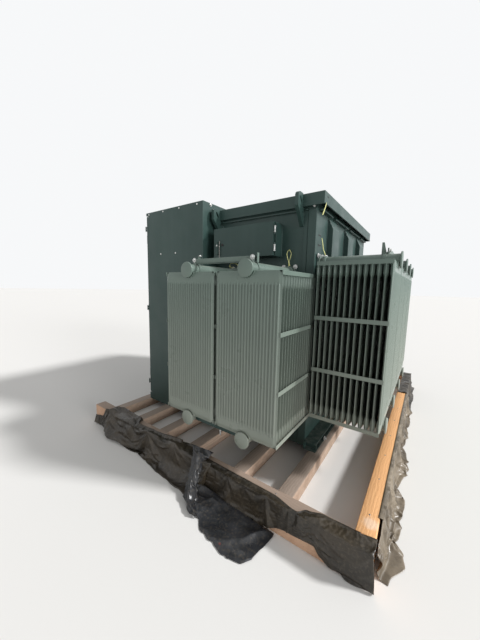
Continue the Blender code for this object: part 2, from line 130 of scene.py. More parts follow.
def blendColors(tree, share, first, second):
    mix = addNode(tree, "ShaderNodeMix", data_type="RGBA")
    sockets = {"Factor": share, "A": first, "B": second}
    for socket in mix.inputs:
        if socket.enabled and socket.name in sockets:
            setSocket(tree, socket, sockets[socket.name])
    return next(out for out in mix.outputs if out.enabled)


def maths(tree, operation, first, second):
    return addNode(tree, "ShaderNodeMath", {0: first, 1: second}, operation=operation).outputs[0]


def times(tree, first, second):
    return maths(tree, "MULTIPLY", first, second)


def upShare(tree):        # how much a face looks up
    normal = addNode(tree, "ShaderNodeNewGeometry").outputs["Normal"]
    return stretch(tree, addNode(tree, "ShaderNodeSeparateXYZ", {0: normal}).outputs["Z"], 0.55, 0.95)


def bump(tree, shader, height, strength, distance):
    made = addNode(tree, "ShaderNodeBump", {"Height": height, "Strength": strength, "Distance": distance})
    tree.links.new(made.outputs[0], shader.inputs["Normal"])


def alongAxis(axis):
    return Vector((0, 0, 1)).rotation_difference(Vector(axis)).to_matrix().to_4x4()


def facing(seat, axis):
    return Matrix.Translation(Vector(seat)) @ alongAxis(axis)


def addBox(bm, low, high):
    low, high = Vector(low), Vector(high)
    place = Matrix.Translation((low + high) / 2) @ Matrix.Diagonal((*(high - low), 1))
    return bmesh.ops.create_cube(bm, size=1, matrix=place)["verts"]


def addSideBox(bm, side, low, high):        # side is 1 on the right and -1 on the left, as its mirror image
    across = sorted((side * low[0], side * high[0]))
    return addBox(bm, (across[0], *low[1:]), (across[1], *high[1:]))


def addRod(bm, start, end, radius, sides=16):
    start, end = Vector(start), Vector(end)
    bmesh.ops.create_cone(bm, cap_ends=True, segments=sides, radius1=radius, radius2=radius,
                          depth=(end - start).length, matrix=facing((start + end) / 2, end - start))


def addTurned(bm, profile, place, sides=32):        # profile of (radius, height) about Z, lowest first
    older = set(bm.verts)
    verts = [bm.verts.new((radius, 0, height)) for radius, height in profile]
    edges = [bm.edges.new(pair) for pair in zip(verts, verts[1:])]
    bmesh.ops.spin(bm, geom=verts + edges, cent=(0, 0, 0), axis=(0, 0, 1), angle=math.tau, steps=sides,
                   use_merge=True)
    bmesh.ops.transform(bm, matrix=place, verts=[vert for vert in bm.verts if vert not in older])


bolt = {"washer": 0.12, "washerRadius": 0.95, "top": 0.66, "cornerRadius": 0.577, "studStart": 0.60,
        "studRadius": 0.28}        # shares of the size across the flats


def addBolt(bm, seat, axis, size, stud=0.0):        # hexagon head on a washer
    seat, axis = Vector(seat), Vector(axis).normalized()
    washer, top = bolt["washer"] * size, bolt["top"] * size
    addRod(bm, seat, seat + axis * washer, size * bolt["washerRadius"], 14)
    addRod(bm, seat + axis * washer, seat + axis * top, size * bolt["cornerRadius"], 6)
    if stud:
        start = seat + axis * bolt["studStart"] * size
        addRod(bm, start, seat + axis * (top + stud), size * bolt["studRadius"], 8)


def bridgeRings(bm, rings):        # faces between rings of as many points
    for first, second in zip(rings, rings[1:]):
        for index in range(len(first)):
            bm.faces.new((first[index], first[index - 1], second[index - 1], second[index]))


def addSweep(bm, points, radius, sides=8, flat=1.0):        # tube along points, flattened by flat
    points = [Vector(point) for point in points]
    rings = []
    for index, point in enumerate(points):
        ahead = points[min(index + 1, len(points) - 1)] - points[max(index - 1, 0)]
        place = facing(point, ahead) @ Matrix.Diagonal((1, flat, 1, 1))
        ring = bmesh.ops.create_circle(bm, cap_ends=index in (0, len(points) - 1), segments=sides,
                                       radius=radius, matrix=place)
        rings.append(ring["verts"])
    for first, second in zip(rings, rings[1:]):
        edges = [edge for ring in (first, second) for vert in ring for edge in vert.link_edges
                 if edge.verts[0] in ring and edge.verts[1] in ring]
        bmesh.ops.bridge_loops(bm, edges=list(set(edges)))


def curvePoints(points, steps=6):        # smooth curve through the given points
    points = [Vector(point) for point in points]
    whole = []
    for index, (start, end) in enumerate(zip(points, points[1:])):
        before = points[max(index - 1, 0)]
        after = points[min(index + 2, len(points) - 1)]
        bend = 2 * before - 5 * start + 4 * end - after
        twist = 3 * start - before - 3 * end + after
        for step in range(steps):
            t = step / steps
            whole.append(0.5 * (2 * start + (end - before) * t + bend * t * t + twist * t ** 3))
    return whole + [points[-1]]


def roundEdges(bm, edges, width, segments=2):
    bmesh.ops.bevel(bm, geom=edges, offset=width, offset_type="OFFSET", segments=segments, profile=0.5,
                    affect="EDGES", material=-1)


def meshFrom(name, bm):
    mesh = bpy.data.meshes.new(name)
    bm.to_mesh(mesh)
    bm.free()
    return mesh


def finishPiece(name, bm, material, body="transformer", slot="dark_green_paint", angle=35, merge=0.00001,
                replaces=(), bevel=0.0, outward=True):
    if merge:
        bmesh.ops.remove_doubles(bm, verts=bm.verts, dist=merge)
    if outward:
        bmesh.ops.recalc_face_normals(bm, faces=bm.faces)
    mesh = meshFrom(name, bm)
    mesh.materials.append(material)
    mesh.shade_smooth()
    mesh.set_sharp_from_angle(angle=math.radians(angle))
    piece = addObject(name, mesh)
    if bevel:
        addBevel(piece, bevel)
    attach(piece, body)
    if replaces:
        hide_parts(*replaces)
    return piece


def addBevel(piece, width):
    rounded = piece.modifiers.new("edgeRound", "BEVEL")
    rounded.width = width
    rounded.segments = 2
    rounded.limit_method = "ANGLE"
    rounded.angle_limit = math.radians(35)
    rounded.harden_normals = True


# stage

stage = {
    "radius": 90.0,
    "sides": 96,
    "floorColor": (0.80, 0.79, 0.77),
    "skyColor": (0.93, 0.94, 0.95),
    "skyLight": 0.46,
    "lamps": (
        ("softSun", 3.0, 7.0, (-0.33, 0.72, 0.62)),
        ("softFill", 1.4, 20.0, (0.16, 0.97, 0.18)),
    ),        # name, strength, angle, direction towards it
}


def buildStage():
    bm = bmesh.new()
    bmesh.ops.create_circle(bm, cap_ends=True, segments=stage["sides"], radius=stage["radius"])
    mesh = meshFrom("floor", bm)
    mesh.materials.append(newMaterial("paleFloor", Roughness=0.9, Base_Color=stage["floorColor"])[0])
    addObject("floor", mesh)

    world = bpy.data.worlds.new("studioSky")
    bpy.context.scene.world = world
    world.use_nodes = True
    tree = world.node_tree
    tree.nodes.clear()
    path = addNode(tree, "ShaderNodeLightPath")
    shown = maths(tree, "MAXIMUM", path.outputs["Is Camera Ray"], path.outputs["Is Transmission Ray"])
    shown = maths(tree, "MAXIMUM", shown, path.outputs["Is Glossy Ray"])
    light = addNode(tree, "ShaderNodeBackground", {"Color": (1, 1, 1), "Strength": stage["skyLight"]})
    view = addNode(tree, "ShaderNodeBackground", {"Color": stage["skyColor"], "Strength": 1.0})
    mixed = addNode(tree, "ShaderNodeMixShader", {0: shown, 1: light.outputs[0], 2: view.outputs[0]})
    addNode(tree, "ShaderNodeOutputWorld", {0: mixed.outputs[0]})

    for name, strength, angle, towards in stage["lamps"]:
        lamp = bpy.data.lights.new(name, "SUN")
        lamp.energy = strength
        lamp.angle = math.radians(angle)
        addObject(name, lamp).rotation_euler = Vector(towards).to_track_quat("Z", "Y").to_euler()
    bpy.context.scene.view_settings.view_transform = "Standard"


buildStage()
print("stage and light set")


# materials

paint = {
    "gloss": 0.38, "streaks": 0.35, "squeeze": (16, 16, 0.7),
    # dust and its colour: dust with painted sunlight, laid on up-facing faces
    "dustAndSunlight": 0.30, "dustColor": (0.42, 0.40, 0.35), "groundReflectionColor": (0.40, 0.40, 0.34), "footFade": (0.40, 1.65),
}


def paintMaterial(name, color, faded, roughness=0.42, paintedShade=None, groundReflection=0.0):
    material, tree, shader = newMaterial(name, Roughness=roughness, Specular_IOR_Level=paint["gloss"])
    broad = noiseShare(tree, 1.6)
    streaks = noiseShare(tree, 1.0, 0.45, 0.75, squeeze=paint["squeeze"])
    base = blendColors(tree, times(tree, broad, 0.6), color, faded)
    base = blendColors(tree, times(tree, streaks, paint["streaks"]), base, faded)
    # dust with painted sunlight: up-facing faces lighten towards the pale dust colour
    grit = noiseShare(tree, 24, 0.38, 0.70, 8.0)
    settled = times(tree, times(tree, upShare(tree), grit), paint["dustAndSunlight"])
    base = blendColors(tree, settled, base, paint["dustColor"])
    # painted reflection of the ground: lighter and browner towards the foot
    if groundReflection:
        height = addNode(tree, "ShaderNodeSeparateXYZ", {0: objectPlace(tree)}).outputs["Z"]
        share = stretch(tree, height, *paint["footFade"], groundReflection, 0.0)
        base = blendColors(tree, share, base, paint["groundReflectionColor"])
    # painted shade from the panels' shade attribute: in the gaps between panels and in the valleys of an
    # outer face
    if paintedShade:
        held = addNode(tree, "ShaderNodeAttribute", attribute_name="paintedShade").outputs["Fac"]
        base = blendColors(tree, times(tree, held, 0.6), base, paintedShade)
    tree.links.new(base, shader.inputs["Base Color"])
    gloss = stretch(tree, noiseShare(tree, 6.0), 0, 1, roughness - 0.07, roughness + 0.08)
    tree.links.new(maths(tree, "ADD", gloss, times(tree, settled, 0.5)), shader.inputs["Roughness"])
    peel = noiseShare(tree, 420, 0.2, 0.8, 2.0)
    wave = noiseShare(tree, 3.0, 0.2, 0.8, 1.0)
    bump(tree, shader, maths(tree, "ADD", times(tree, peel, 0.04), wave), 0.22, 0.004)
    return material


grain = {
    "rings": {"Scale": 17.0, "Distortion": 7.0, "Detail": 3.0, "Detail Scale": 0.6},
    # the grey colour: weathered grey with painted shade, for up-facing faces
    "speckColor": (0.06, 0.035, 0.02), "weatheredShadeColor": (0.24, 0.21, 0.185), "wornColor": (0.86, 0.62, 0.44),
}


def timberMaterial(name, axis, fresh, dark, stain, weatheredAndShaded=0.0, worn=None):        # rings about axis
    material, tree, shader = newMaterial(name, Roughness=0.72)
    lengthwise = [0.06 if letter == axis else 1.0 for letter in "XYZ"]
    fibres = noiseShare(tree, 1.0, 0.3, 0.7, 6.0, [share * 60 for share in lengthwise])
    rings = addNode(tree, "ShaderNodeTexWave", {"Vector": objectPlace(tree), **grain["rings"]},
                    wave_type="RINGS", rings_direction=axis).outputs["Fac"]
    base = blendColors(tree, times(tree, rings, 0.55), fresh, dark)
    base = blendColors(tree, times(tree, fibres, 0.5), base, dark)
    base = blendColors(tree, times(tree, noiseShare(tree, 2.2, 0.40, 0.66), 0.55), base, stain)
    base = blendColors(tree, noiseShare(tree, 190, 0.66, 0.78, 2.0), base, grain["speckColor"])
    # weathered grey with painted shade: up-facing faces darken towards grey
    base = blendColors(tree, times(tree, upShare(tree), weatheredAndShaded), base, grain["weatheredShadeColor"])
    if worn:
        base = spotColor(tree, base, worn, 0.035, 0.060, grain["wornColor"])
    tree.links.new(base, shader.inputs["Base Color"])
    saw = noiseShare(tree, 1.0, 0.3, 0.7, 3.0, [share * 240 for share in lengthwise])
    bump(tree, shader, maths(tree, "ADD", saw, times(tree, rings, 0.5)), 0.55, 0.0016)
    return material


def spotColor(tree, base, centre, inner, outer, color):        # ragged patch round a place on the object
    place = addNode(tree, "ShaderNodeTexCoord").outputs["Object"]
    away = addNode(tree, "ShaderNodeVectorMath", {0: place, 1: centre}, operation="DISTANCE").outputs["Value"]
    ragged = times(tree, noiseShare(tree, 30, 0.3, 0.7), (outer - inner) * 0.8)
    away = maths(tree, "ADD", away, ragged)
    return blendColors(tree, stretch(tree, away, inner, outer, 0.8, 0.0), base, color)


film = {"dustColor": (0.17, 0.14, 0.10), "printColor": (0.42, 0.03, 0.02)}


def plasticMaterial(name, color, worn, spot=None):
    material, tree, shader = newMaterial(name, Roughness=0.3, Specular_IOR_Level=0.5)
    base = blendColors(tree, noiseShare(tree, 5.0, 0.42, 0.62, 6.0), color, worn)
    base = blendColors(tree, times(tree, noiseShare(tree, 70, 0.5, 0.8, 8.0), 0.40), base, film["dustColor"])
    if spot:
        base = spotColor(tree, base, spot, 0.004, 0.018, film["printColor"])
    tree.links.new(base, shader.inputs["Base Color"])
    tree.links.new(stretch(tree, noiseShare(tree, 9.0), 0, 1, 0.26, 0.50), shader.inputs["Roughness"])
    bump(tree, shader, noiseShare(tree, 22.0, 0.3, 0.7, 3.0, (1, 0.35, 1)), 0.30, 0.002)
    return material


metalLook = {"spots": (90, 0.4, 0.7), "dulled": 0.62, "spread": 0.20}
plainLook = {"spots": (45, 0.35, 0.7), "dulled": 0.75, "spread": 0.15, "relief": (0.15, 0.001)}


def spottedMaterial(name, color, roughness, look, metallic=0.0):
    material, tree, shader = newMaterial(name, Metallic=metallic)
    spots = noiseShare(tree, *look["spots"])
    dull = tuple(value * look["dulled"] for value in color)
    tree.links.new(blendColors(tree, spots, color, dull), shader.inputs["Base Color"])
    dullness = stretch(tree, spots, 0, 1, roughness, roughness + look["spread"])
    tree.links.new(dullness, shader.inputs["Roughness"])
    if "relief" in look:
        bump(tree, shader, spots, *look["relief"])
    return material


paleGreens = ((0.116, 0.162, 0.140), (0.150, 0.202, 0.174))
greenPaint = paintMaterial("darkGreenPaint", (0.026, 0.055, 0.049), (0.042, 0.078, 0.069))
radiatorPaint = paintMaterial("radiatorPaint", *paleGreens, 0.33, groundReflection=0.45)
# the last colour is the painted shade in the gaps between panels and in the valleys of an outer face
panelPaintWithShade = paintMaterial("panelPaintWithShade", *paleGreens, 0.33, (0.016, 0.022, 0.020), 0.45)
# one wood in lit and shaded copies: the orange rear timber carries painted sunlight, the paler, greyer side
# and cross timbers carry painted shade
rearTimber = timberMaterial("rearTimber", "X", (0.92, 0.52, 0.24), (0.66, 0.33, 0.14), (0.84, 0.45, 0.19),
                            worn=(1.530, 1.388, 0.2))
shadedSideTimber = timberMaterial("shadedSideTimber", "Y", (0.76, 0.50, 0.34), (0.54, 0.32, 0.20), (0.66, 0.43, 0.29),
                            weatheredAndShaded=0.72)
shadedCrossTimber = timberMaterial("crossTimberInShade", "X", (0.62, 0.46, 0.35), (0.36, 0.25, 0.18), (0.48, 0.37, 0.29),
                            weatheredAndShaded=0.62)
darkPlastic = plasticMaterial("darkPlastic", (0.020, 0.016, 0.011), (0.044, 0.034, 0.022))
coolPlastic = plasticMaterial("coolPlastic", (0.012, 0.013, 0.016), (0.026, 0.027, 0.030),
                              spot=(1.984, 0.689, 0.02))
# the rear drape's golden brown is painted sunlight shining through the dark film
sunlitBrownPlastic = plasticMaterial("sunlitBrownPlastic", (0.105, 0.082, 0.055), (0.24, 0.195, 0.140))
zinc = spottedMaterial("zincPlate", (0.78, 0.78, 0.76), 0.30, metalLook, 1.0)
bareSteel = spottedMaterial("bareSteel", (0.30, 0.28, 0.26), 0.45, metalLook, 1.0)
whiteZinc = spottedMaterial("whiteZinc", (0.66, 0.67, 0.66), 0.48, metalLook, 0.40)
gasket = spottedMaterial("rubberGasket", (0.018, 0.018, 0.018), 0.65, plainLook)
yellowNylon = spottedMaterial("yellowNylon", (0.80, 0.80, 0.34), 0.45, plainLook)
print("materials made")


# looks of the CAD nodes

nodeFinish = {
    "timber": rearTimber,
    "plastic_wrap": darkPlastic,
    "radiator_paint": radiatorPaint,
    "dark_green_paint": greenPaint,
}
nodePaint = {"radiator_rail_right": greenPaint, "radiator_rail_left": greenPaint}
edgeRounds = {"tank": 0.004, "tank_lid": 0.004, "terminal_compartment": 0.004, "base_channel": 0.0025}
nodeSeams = {"weld": 0.00005, "edgeRound": 0.0018}


def dressNodes():
    for subpart in frame["record"]["subparts"]:
        name = subpart["node"]
        piece = bpy.data.objects[name]
        finish = nodePaint.get(name, nodeFinish[subpart["material_slot"]])
        if not piece.material_slots:
            piece.data.materials.append(finish)
        for slot in piece.material_slots:
            slot.material = finish
        piece.modifiers.new("weld", "WELD").merge_threshold = nodeSeams["weld"]
        addBevel(piece, edgeRounds.get(name, nodeSeams["edgeRound"]))


dressNodes()
print("nodes dressed")


# radiators

panels = {
    "width": 0.520,
    "pitch": 0.0405,
    "sideCount": 15,
    "rearCount": 13,
    "firstCentre": 0.084,        # from the wall
    "headerDrop": 0.021,
    "headerRise": 0.016,
    "capRadius": 0.060,
    "capThickness": 0.012,
    "capReach": 0.023,
    "ringRadius": 0.067,
    "ringRise": 0.0030,
    "seamHalf": 0.0013,
    "seamColumns": (0.0, 0.0007, 0.0085, 0.0135, 0.0200),        # from the edge inwards
    "seamRise": (0.0085, 0.0115),        # where the sheets part, and over what length
    "cornerRadius": 0.012,
    "channelPitch": 0.0725,
    "channelCount": 7,
    "channelStart": 0.072,
    "channelRamp": 0.022,
    "valleyHalf": 0.0016,        # half thicknesses: of an inner panel's valleys and an outer face's
    "faceValley": 0.0036,
    "bandHalf": 0.0078,        # of the flat ends and of the ridges
    "ridgeHalf": 0.0116,
    "headerHalf": 0.0145,        # inner panels nearly touch beside the header pipes
    "headerEnd": (0.092, 0.026),        # where that zone ends, and over what length
    "slatHalf": 0.0088,
    "rimHalf": 0.0034,
    "faceShade": (0.45, 0.030),        # depth of painted shade in the valleys of an outer face, and its clear margin
    # painted shade on the inner panels: clear margin at their edges, and the length over which it deepens
    # inwards
    "innerPanelShade": (0.010, 0.026),
    "fineSteps": (0.0, 0.12, 0.25, 0.4, 0.6, 0.8, 1.0, 1.5, 2.1),
    "plainSteps": (0.0, 0.9, 1.5, 2.1),
    "plainShares": ((0.0, 0.0), (0.10, 0.0), (0.22, 0.85), (0.78, 0.85), (0.90, 0.0)),
    "ridgeShares": (
        (0.0, 0.0), (0.040, 0.10),
        (0.100, 0.64), (0.140, 0.93), (0.167, 1.0), (0.193, 0.93), (0.233, 0.64),
        (0.293, 0.18), (0.333, 0.12), (0.373, 0.18),
        (0.433, 0.64), (0.473, 0.93), (0.500, 1.0), (0.527, 0.93), (0.567, 0.64),
        (0.627, 0.18), (0.667, 0.12), (0.707, 0.18),
        (0.767, 0.64), (0.807, 0.93), (0.833, 1.0), (0.860, 0.93), (0.900, 0.64),
        (0.960, 0.10),
    ),        # three ridges on each channel of an outer panel
}
header = {"radius": 0.0445, "flangeRadius": 0.060, "flangeThickness": 0.012, "valveRadius": 0.056,
          "valve": (0.042, 0.070), "soft": 0.002}
radiators = [name for name in nodeNames if name.startswith("radiator_") and name[-1].isdigit()]
bands = {"height": 0.029, "thickness": 0.005, "spacerHeight": 0.030, "levelShares": (0.325, 0.656)}


def channelColumns(shares):        # (place across the panel, height of the ridge there)
    columns = []
    for number in range(panels["channelCount"]):
        start = (number - panels["channelCount"] / 2) * panels["channelPitch"]
        columns += [(start + share * panels["channelPitch"], level) for share, level in shares]
    return columns + [(panels["channelCount"] / 2 * panels["channelPitch"], 0.0)]


def smoothStep(value):
    value = min(max(value, 0.0), 1.0)
    return value * value * (3 - 2 * value)


def roundCorner(across, up, height):        # moves a point near a panel's corner onto the rounded outline
    half, radius = panels["width"] / 2, panels["cornerRadius"]
    fromSide, fromEnd = half - abs(across), min(up, height - up)
    away = math.hypot(radius - fromEnd, radius - fromSide)
    if fromEnd >= radius or fromSide >= radius or away <= radius:
        return across, up
    fromEnd = radius - (radius - fromEnd) * radius / away
    across = math.copysign(half - radius + (radius - fromSide) * radius / away, across)
    return across, fromEnd if up < height / 2 else height - fromEnd


def panelOffset(across, level, fromSide, fromEnd, face):        # half the panel's thickness at a point
    if min(fromEnd, fromSide) < 0.0003:
        return 0.0
    channelHalf, ramp = panels["channelPitch"] / 2, panels["channelRamp"]
    if face:
        bow = ramp * 0.6 * ((across / channelHalf + 1) % 2 - 1) ** 2
        depth = smoothStep((fromEnd - panels["channelStart"] - bow) / (ramp * 0.45))
        band, ridge, rim, valley = (panels["bandHalf"], panels["ridgeHalf"], panels["bandHalf"] * 0.9,
                                    panels["faceValley"])
    else:
        depth = smoothStep((fromEnd - panels["headerEnd"][0]) / panels["headerEnd"][1])
        band, ridge, rim, valley = (panels["headerHalf"], panels["slatHalf"], panels["rimHalf"],
                                    panels["valleyHalf"])
    outside = abs(across) > panels["channelCount"] * channelHalf
    channel = rim if outside else valley + (ridge - valley) * level
    raised = band + (channel - band) * depth
    corner = sum(panels["seamRise"]) + panels["cornerRadius"]
    inset = min(fromEnd, fromSide)
    if max(fromEnd, fromSide) < corner:
        inset = corner - math.hypot(corner - fromEnd, corner - fromSide)
    rise = smoothStep((inset - panels["seamRise"][0]) / panels["seamRise"][1])
    return panels["seamHalf"] + (raised - panels["seamHalf"]) * rise


def addPressedPanel(bm, centre, height, fine):
    # two pressed sheets, seamed round their edge, with channels that stop short of both ends
    half = panels["width"] / 2
    edge = panels["seamColumns"]
    middle = channelColumns(panels["ridgeShares"] if fine else panels["plainShares"])
    columns = [(inset - half, 0.0) for inset in edge] + middle
    columns += [(half - inset, 0.0) for inset in edge[::-1]]
    start, ramp = panels["channelStart"], panels["channelRamp"]
    steps = panels["fineSteps"] if fine else panels["plainSteps"]
    foot = list(edge) + [start - 0.03] + [start + ramp * step for step in steps]
    rows = foot + [height / 2] + [height - row for row in foot[::-1]]
    paintedShade = bm.verts.layers.float["paintedShade"]
    for side in (1, -1):
        face = fine and side > 0
        made = bmesh.ops.create_grid(bm, x_segments=len(columns) - 1, y_segments=len(rows) - 1, size=0.5)
        for vert in made["verts"]:
            across, level = columns[round((vert.co.x + 0.5) * (len(columns) - 1))]
            up = rows[round((vert.co.y + 0.5) * (len(rows) - 1))]
            fromSide, fromEnd = half - abs(across), min(up, height - up)
            # painted shade: inner panels darken away from their edges, an outer face darkens in its valleys
            if not face:
                margin, over = panels["innerPanelShade"]
                vert[paintedShade] = smoothStep((min(fromSide, fromEnd) - margin) / over)
            elif fromEnd > start + ramp and fromSide > panels["faceShade"][1]:
                vert[paintedShade] = panels["faceShade"][0] * (1 - level)
            offset = panelOffset(across, level, fromSide, fromEnd, face)
            vert.co = (centre + side * offset, *roundCorner(across, up, height))


def radiatorFrame(name):        # place of the panels' foot at the wall, panel height, panel centres
    low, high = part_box(name)
    size = high - low
    base = low.z + panels["capRadius"] + panels["headerDrop"]
    if "rear" in name:
        seat, turn = Vector(((low.x + high.x) / 2, low.y - seatGap, base)), math.pi / 2
    elif "right" in name:
        seat, turn = Vector((low.x - seatGap, (low.y + high.y) / 2, base)), 0.0
    else:
        seat, turn = Vector((high.x + seatGap, (low.y + high.y) / 2, base)), math.pi
    height = size.z - 2 * panels["capRadius"] - panels["headerDrop"] - panels["headerRise"]
    count = panels["rearCount"] if "rear" in name else panels["sideCount"]
    centres = [panels["firstCentre"] + number * panels["pitch"] for number in range(count)]
    return Matrix.Translation(seat) @ Matrix.Rotation(turn, 4, "Z"), height, centres


def headerLevels(height):        # lower and upper header pipe, from the panels' foot
    return -panels["headerDrop"], height + panels["headerRise"]


def addHeader(bm, reach, z):        # header pipe with its wall flange, valve body and end cap, along X
    flange, thick, soft = header["flangeRadius"], header["flangeThickness"], header["soft"]
    pipe, valve, cap = header["radius"], header["valveRadius"], panels["capRadius"]
    (near, far), capStart = header["valve"], reach - panels["capThickness"]
    addTurned(bm, (
        (0, seatGap), (flange - soft, seatGap), (flange, soft), (flange, thick - soft / 2),
        (flange - soft, thick), (flange * 0.86, thick), (flange * 0.86, thick + soft),
        (flange, thick + soft), (flange, 2 * thick),
        (flange - soft, 2 * thick + soft), (pipe + 0.004, 2 * thick + soft), (pipe, 2 * thick + 0.006),
        (pipe, near), (valve - soft, near + 0.001), (valve, near + 0.004), (valve, far - 0.004),
        (valve - soft, far - 0.001), (pipe, far), (pipe, capStart - soft), (pipe + 0.003, capStart - 0.001),
        (cap - soft, capStart), (cap, capStart + soft), (cap, reach - soft),
        (cap - soft / 3, reach - soft / 3), (cap - soft, reach), (0, reach),
    ), facing((0, 0, z), (1, 0, 0)), 56)


def addPanelRing(bm, face, z, edge):        # low ring pressed round the pipe, open where the panel ends
    radius, rise = panels["ringRadius"], panels["ringRise"]
    section = ((-0.0060, -0.004), (-0.0052, rise * 0.6), (-0.0035, rise), (-0.0012, rise), (0.0, rise * 0.5),
               (0.0004, -0.004))
    half = math.acos((abs(z - edge) + 0.004) / radius)
    down = -1 if z > edge else 1
    rings = []
    for step in range(29):
        angle = half * (step / 14 - 1)
        rings.append([bm.verts.new((face + up, (radius + out) * math.sin(angle),
                                    z + down * (radius + out) * math.cos(angle))) for out, up in section])
    bridgeRings(bm, rings)
    bm.faces.new(rings[0])
    bm.faces.new(rings[-1])


def addBands(bm, height, inner, outer):
    near, far = panels["width"] / 2 + 0.0004, panels["width"] / 2 + bands["thickness"] - 0.0004
    levels = [(0.0, bands["height"]), (height - bands["height"], height)]
    half = bands["spacerHeight"] / 2
    levels += [(height * share - half, height * share + half) for share in bands["levelShares"]]
    for low, high in levels:
        addBox(bm, (inner, near, low), (outer, far, high))
        addBox(bm, (inner, -far, low), (outer, -near, high))


def buildRadiator(name):
    place, height, centres = radiatorFrame(name)
    inner, outer = centres[0] - 0.006, centres[-1] + 0.006
    pressed, pipes, edges = bmesh.new(), bmesh.new(), bmesh.new()
    # attribute that carries the painted shade between and on the panels
    pressed.verts.layers.float.new("paintedShade")
    for centre in centres:
        addPressedPanel(pressed, centre, height, centre == centres[-1])
    for z, edge in zip(headerLevels(height), (0.0, height)):
        addHeader(pipes, outer + panels["capReach"], z)
        addPanelRing(pipes, centres[-1] + panels["bandHalf"], z, edge)
    addBands(edges, height, inner, outer)
    for bm in (pressed, pipes, edges):
        bmesh.ops.transform(bm, matrix=place, verts=bm.verts)
    own = {"slot": "radiator_paint"}
    finishPiece(name + "_panels", pressed, panelPaintWithShade, angle=50, replaces=(name,), **own)
    finishPiece(name + "_headers", pipes, radiatorPaint, angle=40, **own)
    finishPiece(name + "_edge_bands", edges, radiatorPaint, angle=30, bevel=0.0012, **own)


for name in radiators:
    buildRadiator(name)
print("radiators built")


# timbers

timber = {"cell": 0.05, "edgeRound": 0.005, "roughness": 0.0016, "grain": 6.0, "seed": 11}


def buildTimber(name):
    low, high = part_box(name)
    size = high - low
    axis = 0 if size.x > size.y else 1
    bm = bmesh.new()
    addBox(bm, low, high)
    roundEdges(bm, bm.edges[:], timber["edgeRound"])
    inset = timber["edgeRound"] * 2
    along = Vector((1, 0, 0)) if axis == 0 else Vector((0, 1, 0))
    cuts = int(size[axis] / timber["cell"])
    for cut in range(1, cuts):
        point = low + along * (inset + (size[axis] - 2 * inset) * cut / cuts)
        whole = bm.verts[:] + bm.edges[:] + bm.faces[:]
        bmesh.ops.bisect_plane(bm, geom=whole, plane_co=point, plane_no=along, dist=0.00001)
    middle = (low + high) / 2
    for vert in bm.verts:
        inward = middle - vert.co
        inward[axis] = 0
        shift = noise.noise(vert.co * timber["grain"] + Vector((0, 0, timber["seed"])))
        vert.co += inward.normalized() * timber["roughness"] * shift
    finish = shadedCrossTimber if name.startswith("cross") else rearTimber if axis == 0 else shadedSideTimber
    finishPiece(name + "_sawn", bm, finish, slot="timber", angle=50, replaces=(name,))


for name in nodeNames:
    if "timber" in name:
        buildTimber(name)
print("timbers sawn")


# plastic sheets

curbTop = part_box("curb_timber_right")[1].z
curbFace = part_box("curb_timber_right")[1].x
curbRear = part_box("curb_timber_rear")[1].y
sheets = {"thickness": 0.0006, "raised": 0.0035, "floor": 0.003, "frames": 24}
cloth = {
    "quality": 5, "mass": 0.05, "tension_stiffness": 25, "compression_stiffness": 25, "shear_stiffness": 12,
    "bending_stiffness": 3.0, "air_damping": 2, "vertex_group_mass": "held",
}
supports = {"thickness": 0.002, "friction": 12, "depth": 0.1, "groundHalf": 4}


def tableAt(table, place):        # smooth value between given (place, value) pairs
    if place <= table[0][0]:
        return table[0][1]
    for (start, first), (end, second) in zip(table, table[1:]):
        if place <= end:
            return first + (second - first) * smoothStep((place - start) / (end - start))
    return table[-1][1]


def sway(x, y, seed, reach):        # smooth wandering to either side
    return noise.noise(Vector((x, y, seed))) * reach


def ridged(x, y, seed, octaves=2):        # sharp creases between smooth hollows, 0 to about 1
    total, weight, size = 0.0, 0.0, 1.0
    for octave in range(octaves):
        point = Vector((x * 2 ** octave, y * 2 ** octave, seed + octave * 7.3))
        total += (1 - abs(noise.noise(point)) * 1.8) * size
        weight += size
        size *= 0.5
    return max(total / weight, 0.0)


def creases(rows, u, v, seed):        # rows of slopes on both noise axes, seed shift, octaves, sharpness
    return [ridged(u * a + v * b, u * c + v * d, seed + shift, octaves) ** power
            for (a, b), (c, d), shift, octaves, power in rows]


def addSupport(bm):
    solid = addObject("support", meshFrom("support", bm))
    solid.modifiers.new("hit", "COLLISION")
    solid.collision.thickness_outer = supports["thickness"]
    solid.collision.cloth_friction = supports["friction"]
    return solid


def settleSheet(piece, pinned, grow):        # film that is larger than its place buckles into folds
    scene = bpy.context.scene
    solids = []
    for node in ("curb_timber_right", "curb_timber_left", "curb_timber_rear"):
        low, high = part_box(node)
        bm = bmesh.new()
        addBox(bm, (low.x, low.y, low.z - supports["depth"]), high)
        solids.append(addSupport(bm))
    bm = bmesh.new()
    bmesh.ops.create_grid(bm, x_segments=1, y_segments=1, size=supports["groundHalf"])
    solids.append(addSupport(bm))
    piece.vertex_groups.new(name="held").add(pinned, 1.0, "REPLACE")
    settle = piece.modifiers.new("settle", "CLOTH")
    for key, value in cloth.items():
        setattr(settle.settings, key, value)
    settle.settings.shrink_min = -grow
    settle.collision_settings.distance_min = supports["thickness"]
    settle.collision_settings.use_self_collision = False
    settle.point_cache.frame_end = sheets["frames"]
    for number in range(1, sheets["frames"] + 1):
        scene.frame_set(number)
    settled = bpy.data.meshes.new_from_object(piece.evaluated_get(bpy.context.evaluated_depsgraph_get()))
    piece.modifiers.remove(settle)
    piece.vertex_groups.clear()
    old = piece.data
    piece.data = settled
    bpy.data.meshes.remove(old)
    for solid in solids:
        bpy.data.objects.remove(solid)
    scene.frame_set(1)


